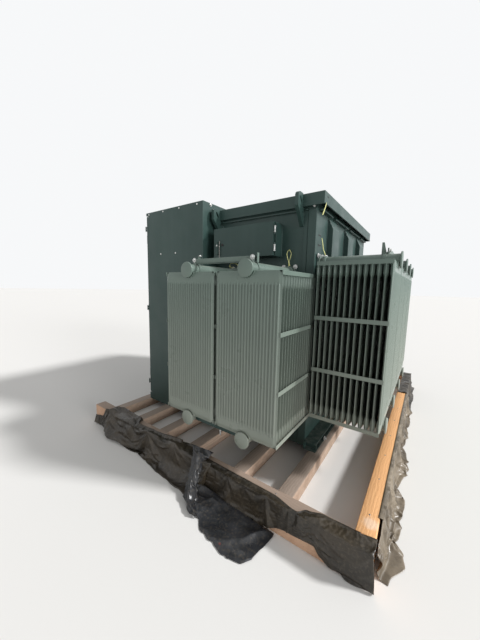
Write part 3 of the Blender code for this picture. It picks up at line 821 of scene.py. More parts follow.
def makeSheet(name, grid, place, replaces=(), hold=None, grow=0.04,
              finish=darkPlastic):
    bm = bmesh.new()
    made = bmesh.ops.create_grid(bm, x_segments=grid[0], y_segments=grid[1], size=0.5)
    bm.verts.index_update()
    pinned = []
    for vert in made["verts"]:
        s, t = vert.co.x + 0.5, vert.co.y + 0.5
        vert.co = place(s, t)
        if hold and hold(s, t):
            pinned.append(vert.index)
    piece = finishPiece(name, bm, finish, slot="plastic_wrap", angle=60, merge=0, replaces=replaces,
                        outward=False)
    if hold:
        settleSheet(piece, pinned, grow)
        piece.data.name = name
    walls = piece.modifiers.new("thickness", "SOLIDIFY")
    walls.thickness = sheets["thickness"]
    walls.offset = 1.0
    return piece


frontWrap = {
    "start": -1.262, "end": 0.300, "seed": 3.1,
    "inner": ((-1.27, 1.722), (-1.01, 1.722), (-0.93, 1.605), (-0.86, 1.580), (-0.60, 1.600), (-0.50, 1.690),
              (-0.30, 1.672), (0.00, 1.630), (0.14, 1.605), (0.40, 1.640)),
    "upper": ((-1.27, 0.085), (-1.12, 0.105), (-1.01, 0.203)),
    "foot": ((-1.30, 1.712), (-0.99, 1.748), (-0.75, 1.738), (-0.39, 1.775), (0.06, 1.781), (0.16, 1.795),
             (0.30, 1.850)),
    "hem": ((-1.30, 0.006), (0.30, 0.004)),
    "bulk": ((-1.27, 0.006), (-1.06, 0.012), (-0.93, 0.042), (-0.60, 0.038), (-0.40, 0.026), (0.10, 0.024),
             (0.30, 0.026)),
    "endLean": ((0.0, -0.07), (0.25, 0.09), (0.5, 0.05), (1.0, -0.04)),
}
rearWrap = {
    "start": 0.240, "end": 1.436, "seed": 17.7,
    "inner": ((0.24, 1.672), (0.66, 1.677), (0.86, 1.678), (1.03, 1.712), (1.08, 1.668), (1.17, 1.640),
              (1.32, 1.634), (1.44, 1.616)),
    "upper": ((0.24, 0.203),),
    "foot": ((0.24, 1.732), (0.80, 1.738), (1.16, 1.732), (1.44, 1.726)),
    "hem": ((0.24, 0.005), (0.76, 0.006), (0.86, 0.044), (1.00, 0.078), (1.145, 0.102), (1.175, 0.066),
            (1.24, 0.036), (1.32, 0.004)),
    "bulk": ((0.24, 0.008), (1.00, 0.009), (1.10, 0.014), (1.44, 0.006)),
    "endLean": ((0.0, 0.0), (1.0, 0.0)),
}
leftWrap = dict(
    frontWrap, end=1.436, seed=41.3,
    inner=((-1.27, 1.722), (-1.01, 1.722), (-0.92, 1.610), (-0.60, 1.640), (-0.20, 1.676), (0.50, 1.650),
           (1.10, 1.676), (1.44, 1.620)),
    foot=((-1.30, 1.712), (-0.60, 1.745), (0.40, 1.738), (1.44, 1.728)),
    hem=((-1.30, 0.006), (-0.30, 0.004), (0.05, 0.040), (0.40, 0.052), (0.70, 0.006)),
    bulk=((-1.30, 0.010), (-0.90, 0.026), (-0.50, 0.012), (1.44, 0.010)),
    endLean=((0.0, 0.0), (1.0, 0.0)),
)


wrapFilm = {
    "long": ((0.9, 0), (0.35, 4.2), 0, 2, 2),
    "cross": ((2.6, 2.6), (-0.8, 1.6), 20, 2, 3),
    "fine": ((7, 0), (2, 3), 40, 2, 3),
    "gap": 0.002, "curl": 0.006, "fray": 0.010, "lowest": 0.002, "wide": 0.09, "sink": 0.22, "flare": 1.3,
}


def wrapPlace(wrap, side):        # s runs along the curb, t from the inner top edge to the hem
    def place(s, t):
        y = wrap["start"] + (wrap["end"] - wrap["start"]) * s
        y += tableAt(wrap["endLean"], t) * smoothStep((s - 0.8) / 0.2)
        along = min(max(y, wrap["start"]), wrap["end"] + 0.1)
        inner, foot, upper, hem, bulk = (tableAt(wrap[key], along)
                                         for key in ("inner", "foot", "upper", "hem", "bulk"))
        edge = curbFace + wrapFilm["gap"]
        topShare = (edge - inner) / (edge - inner + upper - hem) if upper > curbTop else 0.0
        rows = [wrapFilm[key] for key in ("long", "cross", "fine")]
        long, cross, fine = creases(rows, along, t, wrap["seed"])
        bulk *= min(1.0, 0.15 + upper / curbTop)
        out = bulk * (0.45 + 1.1 * long + 0.45 * cross) + 0.0020 * fine
        if t < topShare:
            share = t / topShare
            x, z = inner + (edge - inner) * share, curbTop + sheets["raised"]
            curl = wrapFilm["curl"] * (1 - share) ** 2
            x, z = x + out * 0.5 * share ** 2, z + out * (0.25 + 0.75 * share) + curl
            if inner < curbFace - wrapFilm["wide"]:        # droops at its inner edge
                z -= 0.9 * bulk * max(0.0, wrapFilm["sink"] - share) / wrapFilm["sink"]
        else:
            share = (t - topShare) / (1 - topShare)
            x = edge + (foot - edge) * share ** wrapFilm["flare"]
            z = upper + (hem - upper) * share
            x += out * (0.5 + 0.8 * math.sin(math.pi * share) + 0.25 * share)
            z += out * (1 - share) ** 3
            z = max(z, hem)
        if t == 1:
            z = max(z + sway(along * 14, t * 2, wrap["seed"], wrapFilm["fray"]), wrapFilm["lowest"])
        return Vector((side * x, y, z))
    return place


def heldAt(count, line=0.0):        # held along its upper edge and at a row of points farther down
    def hold(s, t):
        near = abs(s * count - round(s * count)) < 0.03
        return t <= line or (near and abs(t - 0.25) < 0.02)
    return hold


makeSheet("front_wrap_right", (300, 44), wrapPlace(frontWrap, 1),
          ("plastic_wrap_right",), hold=heldAt(5))
makeSheet("rear_wrap_right", (220, 36), wrapPlace(rearWrap, 1),
          hold=heldAt(4), grow=0.025)
makeSheet("wrap_left", (340, 34), wrapPlace(leftWrap, -1),
          ("plastic_wrap_left",), hold=heldAt(9))


groundFlap = {
    "start": 0.17, "length": 0.735, "near": curbFace + 0.014, "seed": 5.5,
    "outline": ((0.20, 1.780), (0.263, 1.850), (0.43, 1.945), (0.52, 1.990), (0.604, 2.016), (0.75, 2.026),
                (0.83, 2.006), (0.868, 1.950), (0.895, 1.850), (0.90, 1.760)),
    "humps": ((0.20, 0.070), (0.32, 0.026), (0.60, 0.010), (0.80, 0.016), (0.90, 0.012)),
    "creases": (((4.0, 2.0), (-1.4, 3.2), 0, 2, 2), ((13, 0), (0, 11), 30, 2, 2)),
}


def flapPlace(s, t):
    y = groundFlap["start"] + groundFlap["length"] * s
    near, seed = groundFlap["near"], groundFlap["seed"]
    x = near + (tableAt(groundFlap["outline"], y) - near) * t
    ragged = (sway(y * 17, t * 3, seed, 0.016) + ridged(y * 9, 0.5, seed + 2) ** 3 * 0.02) * t
    y += 0.05 * t * (1 - s) + sway(x * 12, s * 3, seed + 9, 0.016)
    hump = tableAt(groundFlap["humps"], y)
    crumple, fine = creases(groundFlap["creases"], x, y, seed)
    edge = min(t, 1 - t, s, 1 - s) * 9
    z = 0.004 + hump * (1.35 * crumple + 0.20 * fine) * min(1.0, 0.25 + edge) + 0.05 * (1 - t) ** 3 * (1 - s)
    return Vector((x - ragged, y, max(z, sheets["floor"])))


tornFold = {
    "path": ((1.640, 0.215, 0.205), (1.668, 0.250, 0.262), (1.712, 0.262, 0.236), (1.760, 0.262, 0.142),
             (1.806, 0.272, 0.062), (1.872, 0.330, 0.024), (1.940, 0.430, 0.014)),
    "widths": (0.130, 0.175, 0.125, 0.080, 0.085, 0.110, 0.060),
    "ridge": (0.004, 0.022, 0.030, 0.030, 0.026, 0.016, 0.004),
    "across": (-0.25, 0.95, -0.10), "up": (0.62, 0.10, 0.78), "seed": 61.0,
}


def foldPlace(s, t):        # torn strip that stands as a fold over the curb and runs down to the ground
    count = len(tornFold["path"]) - 1
    index = min(int(t * count), count - 1)
    share = t * count - index
    start, end = Vector(tornFold["path"][index]), Vector(tornFold["path"][index + 1])
    middle = start.lerp(end, smoothStep(share) * 0.5 + share * 0.5)
    width, ridge = (tornFold[key][index] * (1 - share) + tornFold[key][index + 1] * share
                    for key in ("widths", "ridge"))
    seed = tornFold["seed"]
    rise = ridge * (1 - abs(2 * s - 1) ** 1.3) + 0.020 * ridged(s * 1.6 + t * 1.8, t * 4.5 - s, seed, 3) ** 2
    rise += sway(s * 4, t * 8, seed, 0.005)
    ragged = sway(s * 2, t * 15, seed + 4, 0.016) * abs(2 * s - 1) ** 2
    across = Vector(tornFold["across"]).normalized()
    point = middle + across * (width * (s - 0.42) + ragged) + Vector(tornFold["up"]) * rise
    point.z = max(point.z, curbTop + 0.004 if point.x < curbFace + 0.001 else 0.004)
    return point


makeSheet("ground_flap_right", (110, 60), flapPlace,
          ("plastic_flap_right",), finish=coolPlastic)
makeSheet("torn_fold_right", (26, 90), foldPlace, finish=coolPlastic)


rearDrape = {
    "start": 1.630, "end": -0.752, "seed": 8.2,
    "foot": ((-0.76, 1.500), (-0.45, 1.515), (0.113, 1.492), (0.50, 1.540), (0.85, 1.500), (0.96, 1.553),
             (1.148, 1.522), (1.262, 1.540), (1.364, 1.525), (1.42, 1.575), (1.50, 1.600), (1.60, 1.545)),
    "upper": ((-0.76, 0.203), (1.45, 0.203), (1.55, 0.165), (1.60, 0.150), (1.63, 0.120)),
}
rearWrapFar = {
    "start": -0.750, "end": -1.674, "seed": 23.9, "inner": curbRear - 0.094, "foot": 1.480,
    "creases": (((1.6, 0), (0, 3.0), 0, 3, 2), ((6.0, -2), (0, 1.5), 4, 3, 3), ((19, 0), (0, 7), 8, 2, 1)),
}


def drapePlace(s, t):
    x = rearDrape["start"] + (rearDrape["end"] - rearDrape["start"]) * s
    seed = rearDrape["seed"]
    foot, upper = tableAt(rearDrape["foot"], x), tableAt(rearDrape["upper"], x)
    start = curbRear + 0.003
    y = start + (foot - start) * t ** 1.35
    z = upper * (1 - t) ** 1.05 + 0.004
    if t < 0.04 and upper > curbTop:
        return Vector((x, curbRear - 0.010 + 0.3 * t, curbTop + 0.0022))
    lean = sway(x * 1.7, 0, seed + 40, 0.35)
    pleats = ridged(x * 3.4 + t * lean * 3, t * 0.6 + x * 0.3, seed) ** 2
    cross = ridged(x * 2.0 - t * 2.0, t * 2.6 + x, seed + 11) ** 3
    fine = ridged(x * 11 + t * lean * 8, t * 3.0, seed + 25) ** 2
    out = (0.008 + 0.052 * t * (1.25 - t)) * (1.5 * pleats + 0.7 * cross) + 0.004 * fine
    reach = min(out, 0.080)
    y += reach * 0.9
    z += reach * 0.35 * (1 - t)
    x += sway(x * 7, t * 3, seed + 3, 0.03) * t
    return Vector((x, y, max(z, sheets["floor"])))


def farWrapPlace(s, t):
    far = rearWrapFar
    x = far["start"] + (far["end"] - far["start"]) * s
    long, cross, fine = creases(far["creases"], x, t, far["seed"])
    out = 0.010 * (0.3 + 1.5 * long + cross) + 0.002 * fine
    edge = curbRear + 0.002
    topShare = (edge - far["inner"]) / (edge - far["inner"] + curbTop)
    if t < topShare:
        share = t / topShare
        return Vector((x, far["inner"] + (edge - far["inner"]) * share + out * 0.5 * share ** 2,
                       curbTop + sheets["raised"] + out * (0.25 + 0.75 * share)))
    share = (t - topShare) / (1 - topShare)
    y = edge + (far["foot"] - edge) * share ** 1.3 + out * (0.5 + 0.8 * math.sin(math.pi * share))
    return Vector((x, y, max(curbTop * (1 - share) + out * (1 - share) ** 3, sheets["floor"])))


makeSheet("rear_drape", (340, 40), drapePlace, ("plastic_drape_rear",),
          hold=heldAt(1, 0.06), grow=0.06, finish=sunlitBrownPlastic)
makeSheet("wrap_rear_far", (130, 30), farWrapPlace,
          ("plastic_wrap_rear",), hold=heldAt(3))
print("plastic sheets draped")


# fasteners and small fittings

wall = {"right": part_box("radiator_right_1")[0].x, "rear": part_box("radiator_rear_1")[0].y}
compartmentLow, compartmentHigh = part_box("terminal_compartment")


def addDome(bm, seat, axis, radius):        # low round head
    addTurned(bm, (
        (0, seatGap), (radius, seatGap), (radius, 0.25 * radius), (0.82 * radius, 0.50 * radius),
        (0.42 * radius, 0.68 * radius), (0, 0.74 * radius),
    ), facing(seat, axis), 14)


compartmentScrews = {
    "radius": 0.0085,
    "places": ((-1.086, 2.258), (-0.842, 2.260), (-0.591, 2.258), (-0.338, 2.257), (-0.888, 1.820),
               (-0.651, 1.817), (-0.311, 1.760)),
    "backBolt": (1.020, 2.264), "boltSize": 0.016,
}


def buildCompartmentScrews():
    bm = bmesh.new()
    for side in (1, -1):
        for y, z in compartmentScrews["places"]:
            addDome(bm, (side * compartmentHigh.x, y, z), (side, 0, 0), compartmentScrews["radius"])
        across, up = compartmentScrews["backBolt"]
        seat = (side * across, compartmentHigh.y + seatGap, up)
        addBolt(bm, seat, (0, 1, 0), compartmentScrews["boltSize"])
    finishPiece("compartment_screws", bm, zinc)


doorHinges = {"radius": 0.007, "outShare": 0.6, "length": 0.050, "reach": 0.0042,
              "levels": (0.320, 1.215, 2.110), "knuckleGap": 0.0008, "leaf": 0.004, "leafInset": 0.002,
              "pin": 0.0045, "pinRise": 0.004}


def buildDoorHinges():
    radius, quarter = doorHinges["radius"], doorHinges["length"] / 4
    gap, inset = doorHinges["knuckleGap"], doorHinges["leafInset"]
    bm = bmesh.new()
    for side in (1, -1):
        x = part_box("compartment_door_right")[1].x + radius * doorHinges["outShare"]
        y = compartmentLow.y - radius - doorHinges["reach"]
        for z in doorHinges["levels"]:
            for middle in (z - quarter, z + quarter):
                low, high = middle - quarter, middle + quarter
                addRod(bm, (side * x, y, low + gap), (side * x, y, high - gap), radius)
                addSideBox(bm, side, (x - doorHinges["leaf"], y, low + inset),
                           (x, compartmentLow.y - seatGap, high - inset))
            reach = 2 * quarter + doorHinges["pinRise"]
            addRod(bm, (side * x, y, z - reach), (side * x, y, z + reach), doorHinges["pin"], 12)
    finishPiece("compartment_door_hinges", bm, greenPaint, bevel=0.0008)


boxEdge = {"rubber": 0.0095, "inset": 0.002, "rearInset": 0.004, "depth": 0.0052, "face": 1.0463,
           "rear": 0.470}


def buildGasket():
    low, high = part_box("instrument_box")
    front, back = boxEdge["face"] + seatGap, boxEdge["face"] + boxEdge["depth"]
    near, far = low.y + boxEdge["inset"], boxEdge["rear"] - boxEdge["inset"] - boxEdge["rearInset"]
    bottom, top = low.z + boxEdge["inset"], high.z - boxEdge["inset"]
    wide = boxEdge["rubber"]
    bm = bmesh.new()
    addBox(bm, (front, near, bottom), (back, far, bottom + wide))
    addBox(bm, (front, near, top - wide), (back, far, top))
    addBox(bm, (front, near, bottom + wide + seatGap), (back, near + wide, top - wide - seatGap))
    addBox(bm, (front, far - wide, bottom + wide + seatGap), (back, far, top - wide - seatGap))
    finishPiece("instrument_gasket", bm, gasket, bevel=0.001)


boxHinges = {"axis": (1.0643, 0.478), "radius": 0.0066, "endRadius": 0.0086, "end": 0.008,
             "endOut": 0.0004, "rounding": (0.0015, 0.001), "neck": 0.002,
             "fixed": ((1.8084, 1.828), (1.9484, 1.976)), "moving": ((1.776, 1.8076), (1.926, 1.9476))}


def buildBoxHinges():        # bright sleeves on the knuckles, thicker at their outer ends
    x, y = boxHinges["axis"]
    for body, name in (("transformer", "fixed"), ("instrument_door", "moving")):
        bm = bmesh.new()
        for low, high in boxHinges[name]:
            addRod(bm, (x, y, low), (x, y, high), boxHinges["radius"], 20)
            end, way = (high, -1) if name == "fixed" else (low, 1)
            wide, tall, out = boxHinges["endRadius"], boxHinges["end"], boxHinges["endOut"]
            inwards, along = boxHinges["rounding"]
            addTurned(bm, (
                (0, -out), (wide - inwards, -out), (wide, along), (wide, tall - boxHinges["neck"]),
                (boxHinges["radius"], tall), (0, tall),
            ), facing((x, y, end), (0, 0, way)), 20)
        finishPiece("instrument_hinge_" + name, bm, whiteZinc, body=body)


boxLip = {"inner": 1.0385, "outer": 1.0461, "reach": 0.4815,
          "levels": ((1.7423, 1.806), (1.846, 1.946), (1.986, 2.0137))}


def buildBoxLip():        # lip along the box's hinge side, cut away at the hinges
    bm = bmesh.new()
    near = boxEdge["rear"] + seatGap
    for low, high in boxLip["levels"]:
        addBox(bm, (boxLip["inner"], near, low), (boxLip["outer"], boxLip["reach"], high))
    finishPiece("instrument_box_lip", bm, greenPaint, bevel=0.0012)


latch = {"lock": (1.0923, -0.118, 1.858), "lockRadius": 0.0085, "disc": (-0.066, 1.863), "discRadius": 0.0125,
         "rod": (1.0815, -0.094), "rodLevels": (1.748, 1.893), "rodRadius": 0.0028, "edge": 0.022,
         "stud": (1.030, -0.090, 2.0143), "studRise": 0.0257, "studRadius": 0.0042, "nut": 0.013}


def buildLatch():
    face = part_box("instrument_box_door")[1].x - latch["edge"]
    bm = bmesh.new()
    addDome(bm, latch["lock"], (1, 0, 0), latch["lockRadius"])
    finishPiece("instrument_lock", bm, whiteZinc, body="instrument_door")
    bm = bmesh.new()
    x, y = latch["rod"]
    low, high = latch["rodLevels"]
    half = [(face + 0.0004, low), (x - 0.003, low), (x, low + 0.004)]
    points = half + [(across, low + high - z) for across, z in half[::-1]]
    addSweep(bm, curvePoints([(across, y, z) for across, z in points], 4), latch["rodRadius"], 10)
    finishPiece("instrument_latch_rod", bm, bareSteel, body="instrument_door")
    bm = bmesh.new()
    wide = latch["discRadius"]
    addTurned(bm, (
        (0, seatGap), (wide, seatGap), (wide, 0.004), (wide * 0.85, 0.0055), (wide * 0.40, 0.0055),
        (wide * 0.34, 0.0035), (0, 0.0035),
    ), facing((face, *latch["disc"]), (1, 0, 0)), 24)
    finishPiece("instrument_latch_disc", bm, gasket, body="instrument_door")
    bm = bmesh.new()
    seat = Vector(latch["stud"])
    addRod(bm, seat, seat + Vector((0, 0, latch["studRise"])), latch["studRadius"], 10)
    addBolt(bm, seat, (0, 0, 1), latch["nut"])
    finishPiece("instrument_box_stud", bm, greenPaint)


flanges = {"half": 0.064, "thickness": 0.010, "corner": 0.010, "boltShare": 0.83, "boltSize": 0.021,
           "stud": 0.010}


def addSquareFlange(bm):        # at the wall, about the X axis
    half = flanges["half"]
    made = addBox(bm, (seatGap, -half, -half), (flanges["thickness"], half, half))
    edges = {edge for vert in made for edge in vert.link_edges
             if abs(edge.verts[0].co.x - edge.verts[1].co.x) > 0.001}
    roundEdges(bm, list(edges), flanges["corner"], 4)


def addFlangeBolts(bm):
    x, reach = flanges["thickness"] + seatGap, flanges["half"] * flanges["boltShare"]
    for y in (-reach, reach):
        for up in (-reach, reach):
            addBolt(bm, (x, y, up), (1, 0, 0), flanges["boltSize"], flanges["stud"])


def addPlaced(whole, add, place):        # a part is made about its own origin and then put in its place
    part = bmesh.new()
    add(part)
    bmesh.ops.transform(part, matrix=place, verts=part.verts)
    mesh = meshFrom("part", part)
    whole.from_mesh(mesh)
    bpy.data.meshes.remove(mesh)


def buildWallFlanges():
    plates, bolts = bmesh.new(), bmesh.new()
    for name in radiators:
        place, height = radiatorFrame(name)[:2]
        for z in headerLevels(height):
            addPlaced(plates, addSquareFlange, place @ Matrix.Translation((0, 0, z)))
            addPlaced(bolts, addFlangeBolts, place @ Matrix.Translation((0, 0, z)))
    finishPiece("wall_flanges", plates, greenPaint, slot="radiator_paint", bevel=0.0012)
    finishPiece("wall_flange_bolts", bolts, whiteZinc, slot="radiator_paint")


ties = {
    "lip": (0.016, 0.003), "lipDrop": 0.040, "lipEnds": (0.058, 0.060),
    "boltSize": 0.019, "boltDrop": 0.009, "rearBolt": 0.022, "rearBoltDrop": 0.018,
    "smallBolt": 0.015, "smallBoltPlace": 0.053, "smallBoltIn": 0.010, "smallBoltRise": 0.0205,
    "clampWidth": 0.022, "clampGap": 0.0008, "clampWall": 0.003, "clampIn": 0.016, "clampRise": 0.0006,
    "ear": (0.022, 0.006), "earOffset": 0.028, "earSink": 0.004, "earRise": 0.020,
    "rearEar": (0.008, 0.036), "rearEarIn": 0.004, "rearEarSink": 0.006, "rearEarRise": 0.042,
    "earTaper": 0.42, "pipeDrop": 0.0317,
    "sidePlaces": (0.010, 0.555), "rearPlaces": (-0.8175, -0.2725, 0.2725, 0.8175),
}


def addClamp(bm, middle, z, along):        # strap round a header pipe
    inner = header["radius"] + ties["clampGap"]
    outer, half = inner + ties["clampWall"], ties["clampWidth"] / 2
    profile = ((inner, -half), (outer, -half), (outer, half), (inner, half), (inner, -half))
    addTurned(bm, profile, facing((*middle, z), along))


def buildTieFittings():
    green, bolts = bmesh.new(), bmesh.new()
    low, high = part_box("radiator_tie_right")
    pipe = low.z - ties["pipeDrop"]
    outer, inner, top = high.x + seatGap, low.x - seatGap, high.z - ties["lipDrop"]
    reach, wide = ties["ear"]
    near, far = low.y + ties["lipEnds"][0], high.y - ties["lipEnds"][1]
    for side in (1, -1):
        addSideBox(green, side, (outer, near, top - ties["lip"][1]), (outer + ties["lip"][0], far, top))
        for y in ties["sidePlaces"]:
            addBolt(bolts, (side * outer, y, high.z - ties["boltDrop"]), (side, 0, 0), ties["boltSize"])
            addClamp(green, (side * (low.x - ties["clampIn"]), y), pipe + ties["clampRise"], (1, 0, 0))
            start = y + ties["earOffset"]
            addSideBox(green, side, (inner - reach, start, pipe + header["radius"] - ties["earSink"]),
                       (inner, start + wide, high.z + ties["earRise"]))
        across, up = low.x - ties["smallBoltIn"], high.z + ties["smallBoltRise"]
        seat = (side * across, ties["smallBoltPlace"], up)
        addBolt(bolts, seat, (0, 0, 1), ties["smallBolt"])
    finishPiece("side_tie_fittings", green, radiatorPaint, slot="radiator_paint", bevel=0.0008)
    finishPiece("side_tie_bolts", bolts, whiteZinc, slot="radiator_paint")
    green, bolts = bmesh.new(), bmesh.new()
    low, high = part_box("radiator_tie_rear")
    pipe = low.z - ties["pipeDrop"]
    wide, reach = ties["rearEar"]
    for x in ties["rearPlaces"]:
        addClamp(green, (x, low.y - ties["clampIn"]), pipe + ties["clampRise"], (0, 1, 0))
        addBolt(bolts, (x, high.y + seatGap, high.z - ties["rearBoltDrop"]), (0, 1, 0), ties["rearBolt"])
        far = low.y - ties["rearEarIn"]
        addEar(green, (x - wide / 2, far - reach, pipe + header["radius"] - ties["rearEarSink"]),
               (x + wide / 2, far, high.z + ties["rearEarRise"]))
    finishPiece("rear_tie_fittings", green, radiatorPaint, slot="radiator_paint", bevel=0.0008)
    finishPiece("rear_tie_bolts", bolts, whiteZinc, slot="radiator_paint")


def addEar(bm, low, high):        # upright plate that tapers to its top
    for vert in addBox(bm, low, high):
        if vert.co.z > (low[2] + high[2]) / 2:
            vert.co.y = low[1] + (vert.co.y - low[1]) * ties["earTaper"]


buildCompartmentScrews()
buildDoorHinges()
buildGasket()
buildBoxHinges()
buildBoxLip()
buildLatch()
buildWallFlanges()
buildTieFittings()
print("hinges, latch, flanges and ties fitted")


lidTrim = {
    "lip": 0.006, "lipHeight": 0.005, "lipInset": 0.004, "flange": (2.096, 2.108), "flangeReach": 0.018,
    "sideRuns": ((-0.180, 0.610), (0.680, 0.696)), "rearReach": 0.030,
    "rearRuns": ((-0.880, -0.580), (-0.510, -0.035), (0.035, 0.510), (0.580, 0.880)),
    "slot": (0.872, 2.187), "slotSize": (0.030, 0.008), "slotDepth": (0.0001, 0.0006),        # in and out
    "wallSlots": (1.827, 1.905), "wallSlotRun": (0.800, 0.862), "wallSlotHeight": 0.010,
    "wallSlotOut": 0.001,
    "bolt": (0.934, 0.748), "boltSize": 0.014,
}


def buildLidTrim():
    low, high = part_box("tank_lid")
    y, inset = high.y + seatGap, lidTrim["lipInset"]
    bottom, top = lidTrim["flange"]
    rear = wall["rear"]
    bm = bmesh.new()
    addBox(bm, (low.x + inset, y, low.z), (high.x - inset, y + lidTrim["lip"], low.z + lidTrim["lipHeight"]))
    for side in (1, -1):
        for start, end in lidTrim["sideRuns"]:
            addSideBox(bm, side, (wall["right"] + seatGap, start, bottom),
                       (wall["right"] + lidTrim["flangeReach"], end, top))
    for start, end in lidTrim["rearRuns"]:
        addBox(bm, (start, rear + seatGap, bottom), (end, rear + lidTrim["rearReach"], top))
    finishPiece("lid_trim", bm, greenPaint, bevel=0.001)
    # near-black patches in place of the slots' openings: painted shade
    slotShades, bolts = bmesh.new(), bmesh.new()
    x, z = lidTrim["slot"]
    wide, tall = lidTrim["slotSize"]
    inwards, outwards = lidTrim["slotDepth"]
    for side in (1, -1):
        addSideBox(slotShades, side, (x - wide / 2, y - inwards, z - tall / 2),
                   (x + wide / 2, y + outwards, z + tall / 2))
        across, along = lidTrim["bolt"]
        addBolt(bolts, (side * across, along, low.z - seatGap), (0, 0, -1), lidTrim["boltSize"])
    near, far = lidTrim["wallSlotRun"]
    for z in lidTrim["wallSlots"]:
        top = z + lidTrim["wallSlotHeight"]
        addBox(slotShades, (near, rear + seatGap, z), (far, rear + lidTrim["wallSlotOut"], top))
    finishPiece("lid_slot_shades", slotShades, gasket)
    finishPiece("lid_bolts", bolts, whiteZinc)


lugNames = [name for name in nodeNames if name.startswith("lifting_lug")]
weld = {"step": 0.011, "sides": 8, "swell": (0.82, 0.30), "waver": 0.0006, "waverScale": 60, "least": 0.001,
        "seat": 0.001, "lugRadius": 0.0040, "lugInset": 0.002, "lugStart": 0.006, "lugEnd": 2.088,
        "boxRadius": 0.0035, "boxInset": 0.004}


def addBead(bm, start, end, radius):        # weld bead with a slightly uneven width
    start, end = Vector(start), Vector(end)
    count = max(4, int((end - start).length / weld["step"]))
    rings = []
    for index in range(count + 1):
        point = start + (end - start) * index / count
        size = radius * (weld["swell"][0] + weld["swell"][1] * (index % 2))
        size += weld["waver"] * noise.noise(point * weld["waverScale"])
        ring = bmesh.ops.create_circle(bm, cap_ends=index in (0, count), segments=weld["sides"],
                                       radius=max(size, weld["least"]), matrix=facing(point, end - start))
        rings.append(ring["verts"])
    bridgeRings(bm, rings)


def buildWelds():
    bm = bmesh.new()
    x, inset = wall["right"] + weld["seat"], weld["boxInset"]
    for node in lugNames:
        low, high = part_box(node)
        side = 1 if low.x > 0 else -1
        for y in (low.y + weld["lugInset"], high.y - weld["lugInset"]):
            foot = (side * x, y, low.z + weld["lugStart"])
            addBead(bm, foot, (side * x, y, weld["lugEnd"]), weld["lugRadius"])
    low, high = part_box("instrument_box")
    for y in (low.y, boxEdge["rear"]):
        addBead(bm, (x, y, low.z + inset), (x, y, high.z - inset), weld["boxRadius"])
    for z in (low.z, high.z):
        addBead(bm, (x, low.y + inset, z), (x, boxEdge["rear"] - inset, z), weld["boxRadius"])
    finishPiece("weld_beads", bm, greenPaint, merge=0)


cableTies = {
    "standingLoop": ((0.950, 0.556, 1.640), (0.950, 0.557, 1.690), (0.951, 0.545, 1.730),
                     (0.952, 0.539, 1.765), (0.950, 0.556, 1.792), (0.948, 0.575, 1.766),
                     (0.948, 0.569, 1.728), (0.950, 0.560, 1.692), (0.952, 0.566, 1.668)),
    "lyingLoop": ((0.935, -0.075, 1.652), (0.960, -0.060, 1.690), (0.985, -0.020, 1.700),
                  (0.980, 0.030, 1.694), (0.950, 0.040, 1.672), (0.935, 0.000, 1.658),
                  (0.950, -0.040, 1.664), (0.985, -0.050, 1.676)),
    "rearTie": ((0.868, 0.800, 1.880), (0.846, 0.802, 1.840), (0.838, 0.806, 1.800),
                (0.815, 0.812, 1.770), (0.806, 0.818, 1.745), (0.822, 0.824, 1.732)),
    "rearTieShort": ((0.632, 0.800, 1.838), (0.620, 0.802, 1.800), (0.602, 0.806, 1.768),
                     (0.594, 0.812, 1.742)),
    "lidTie": ((0.938, 0.8425, 2.128), (0.942, 0.8430, 2.112), (0.956, 0.840, 2.080),
               (0.970, 0.834, 2.045), (0.975, 0.832, 2.032)),
}
ribbon = {"radius": 0.0036, "flat": 0.6, "headHalf": (0.004, 0.004, 0.005),
          "headed": ("rearTie", "rearTieShort", "standingLoop")}
sealWire = {"middle": (0.822, 0.826, 1.728), "points": 14, "radius": 0.0030}


def buildCableTies():
    for name, points in cableTies.items():
        bm = bmesh.new()
        addSweep(bm, curvePoints(points), ribbon["radius"], flat=ribbon["flat"])
        if name in ribbon["headed"]:
            head, half = Vector(points[-1]), Vector(ribbon["headHalf"])
            addBox(bm, head - half, head + half)
        finishPiece("cable_tie_" + name.lower(), bm, yellowNylon, angle=50)
    bm = bmesh.new()
    x, y, z = sealWire["middle"]
    tangle = [(x + 0.030 * math.cos(step * 1.9) + 0.010 * math.sin(step * 3.1),
               y + 0.012 * math.sin(step * 2.3), z + 0.018 * math.sin(step * 1.3))
              for step in range(sealWire["points"])]
    addSweep(bm, curvePoints(tangle, 4), sealWire["radius"], 6)
    finishPiece("seal_wire", bm, whiteZinc, angle=60)


plugs = {"radius": 0.011, "headRadius": 0.0105, "height": 0.009, "low": 0.030, "high": 0.080, "past": 0.0155}


def buildPlugs():        # drain plugs under the lower headers, vent plugs over the upper ones
    bm = bmesh.new()
    for name in radiators:
        place, height, centres = radiatorFrame(name)
        for z, way, inset in zip(headerLevels(height), (-1, 1), (plugs["low"], plugs["high"])):
            x = centres[-1] + plugs["past"] - inset
            levels = [z + way * (header["radius"] - 0.002 + plugs["height"] * step) for step in range(3)]
            foot, middle, top = (place @ Vector((x, 0, level)) for level in levels)
            addRod(bm, foot, middle, plugs["radius"], 14)
            addRod(bm, middle, top, plugs["headRadius"], 6)
    finishPiece("radiator_plugs", bm, radiatorPaint, slot="radiator_paint", bevel=0.0006)


railTag = {"along": (0.304, 0.318), "inset": 0.002, "drop": 0.046, "edge": 0.0015}


def buildRailTag():        # short tag under the lower rail
    bm = bmesh.new()
    low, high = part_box("radiator_rail_right")
    (near, far), inset = railTag["along"], railTag["inset"]
    addBox(bm, (low.x + inset, near, low.z - railTag["drop"]), (high.x - inset, far, low.z - seatGap))
    roundEdges(bm, bm.edges[:], railTag["edge"])
    finishPiece("rail_tag", bm, whiteZinc, slot="radiator_paint")


baseBolts = {"size": 0.022, "stud": 0.006, "level": 0.1220, "places": (0.727, 0.330, -0.330, -0.727)}


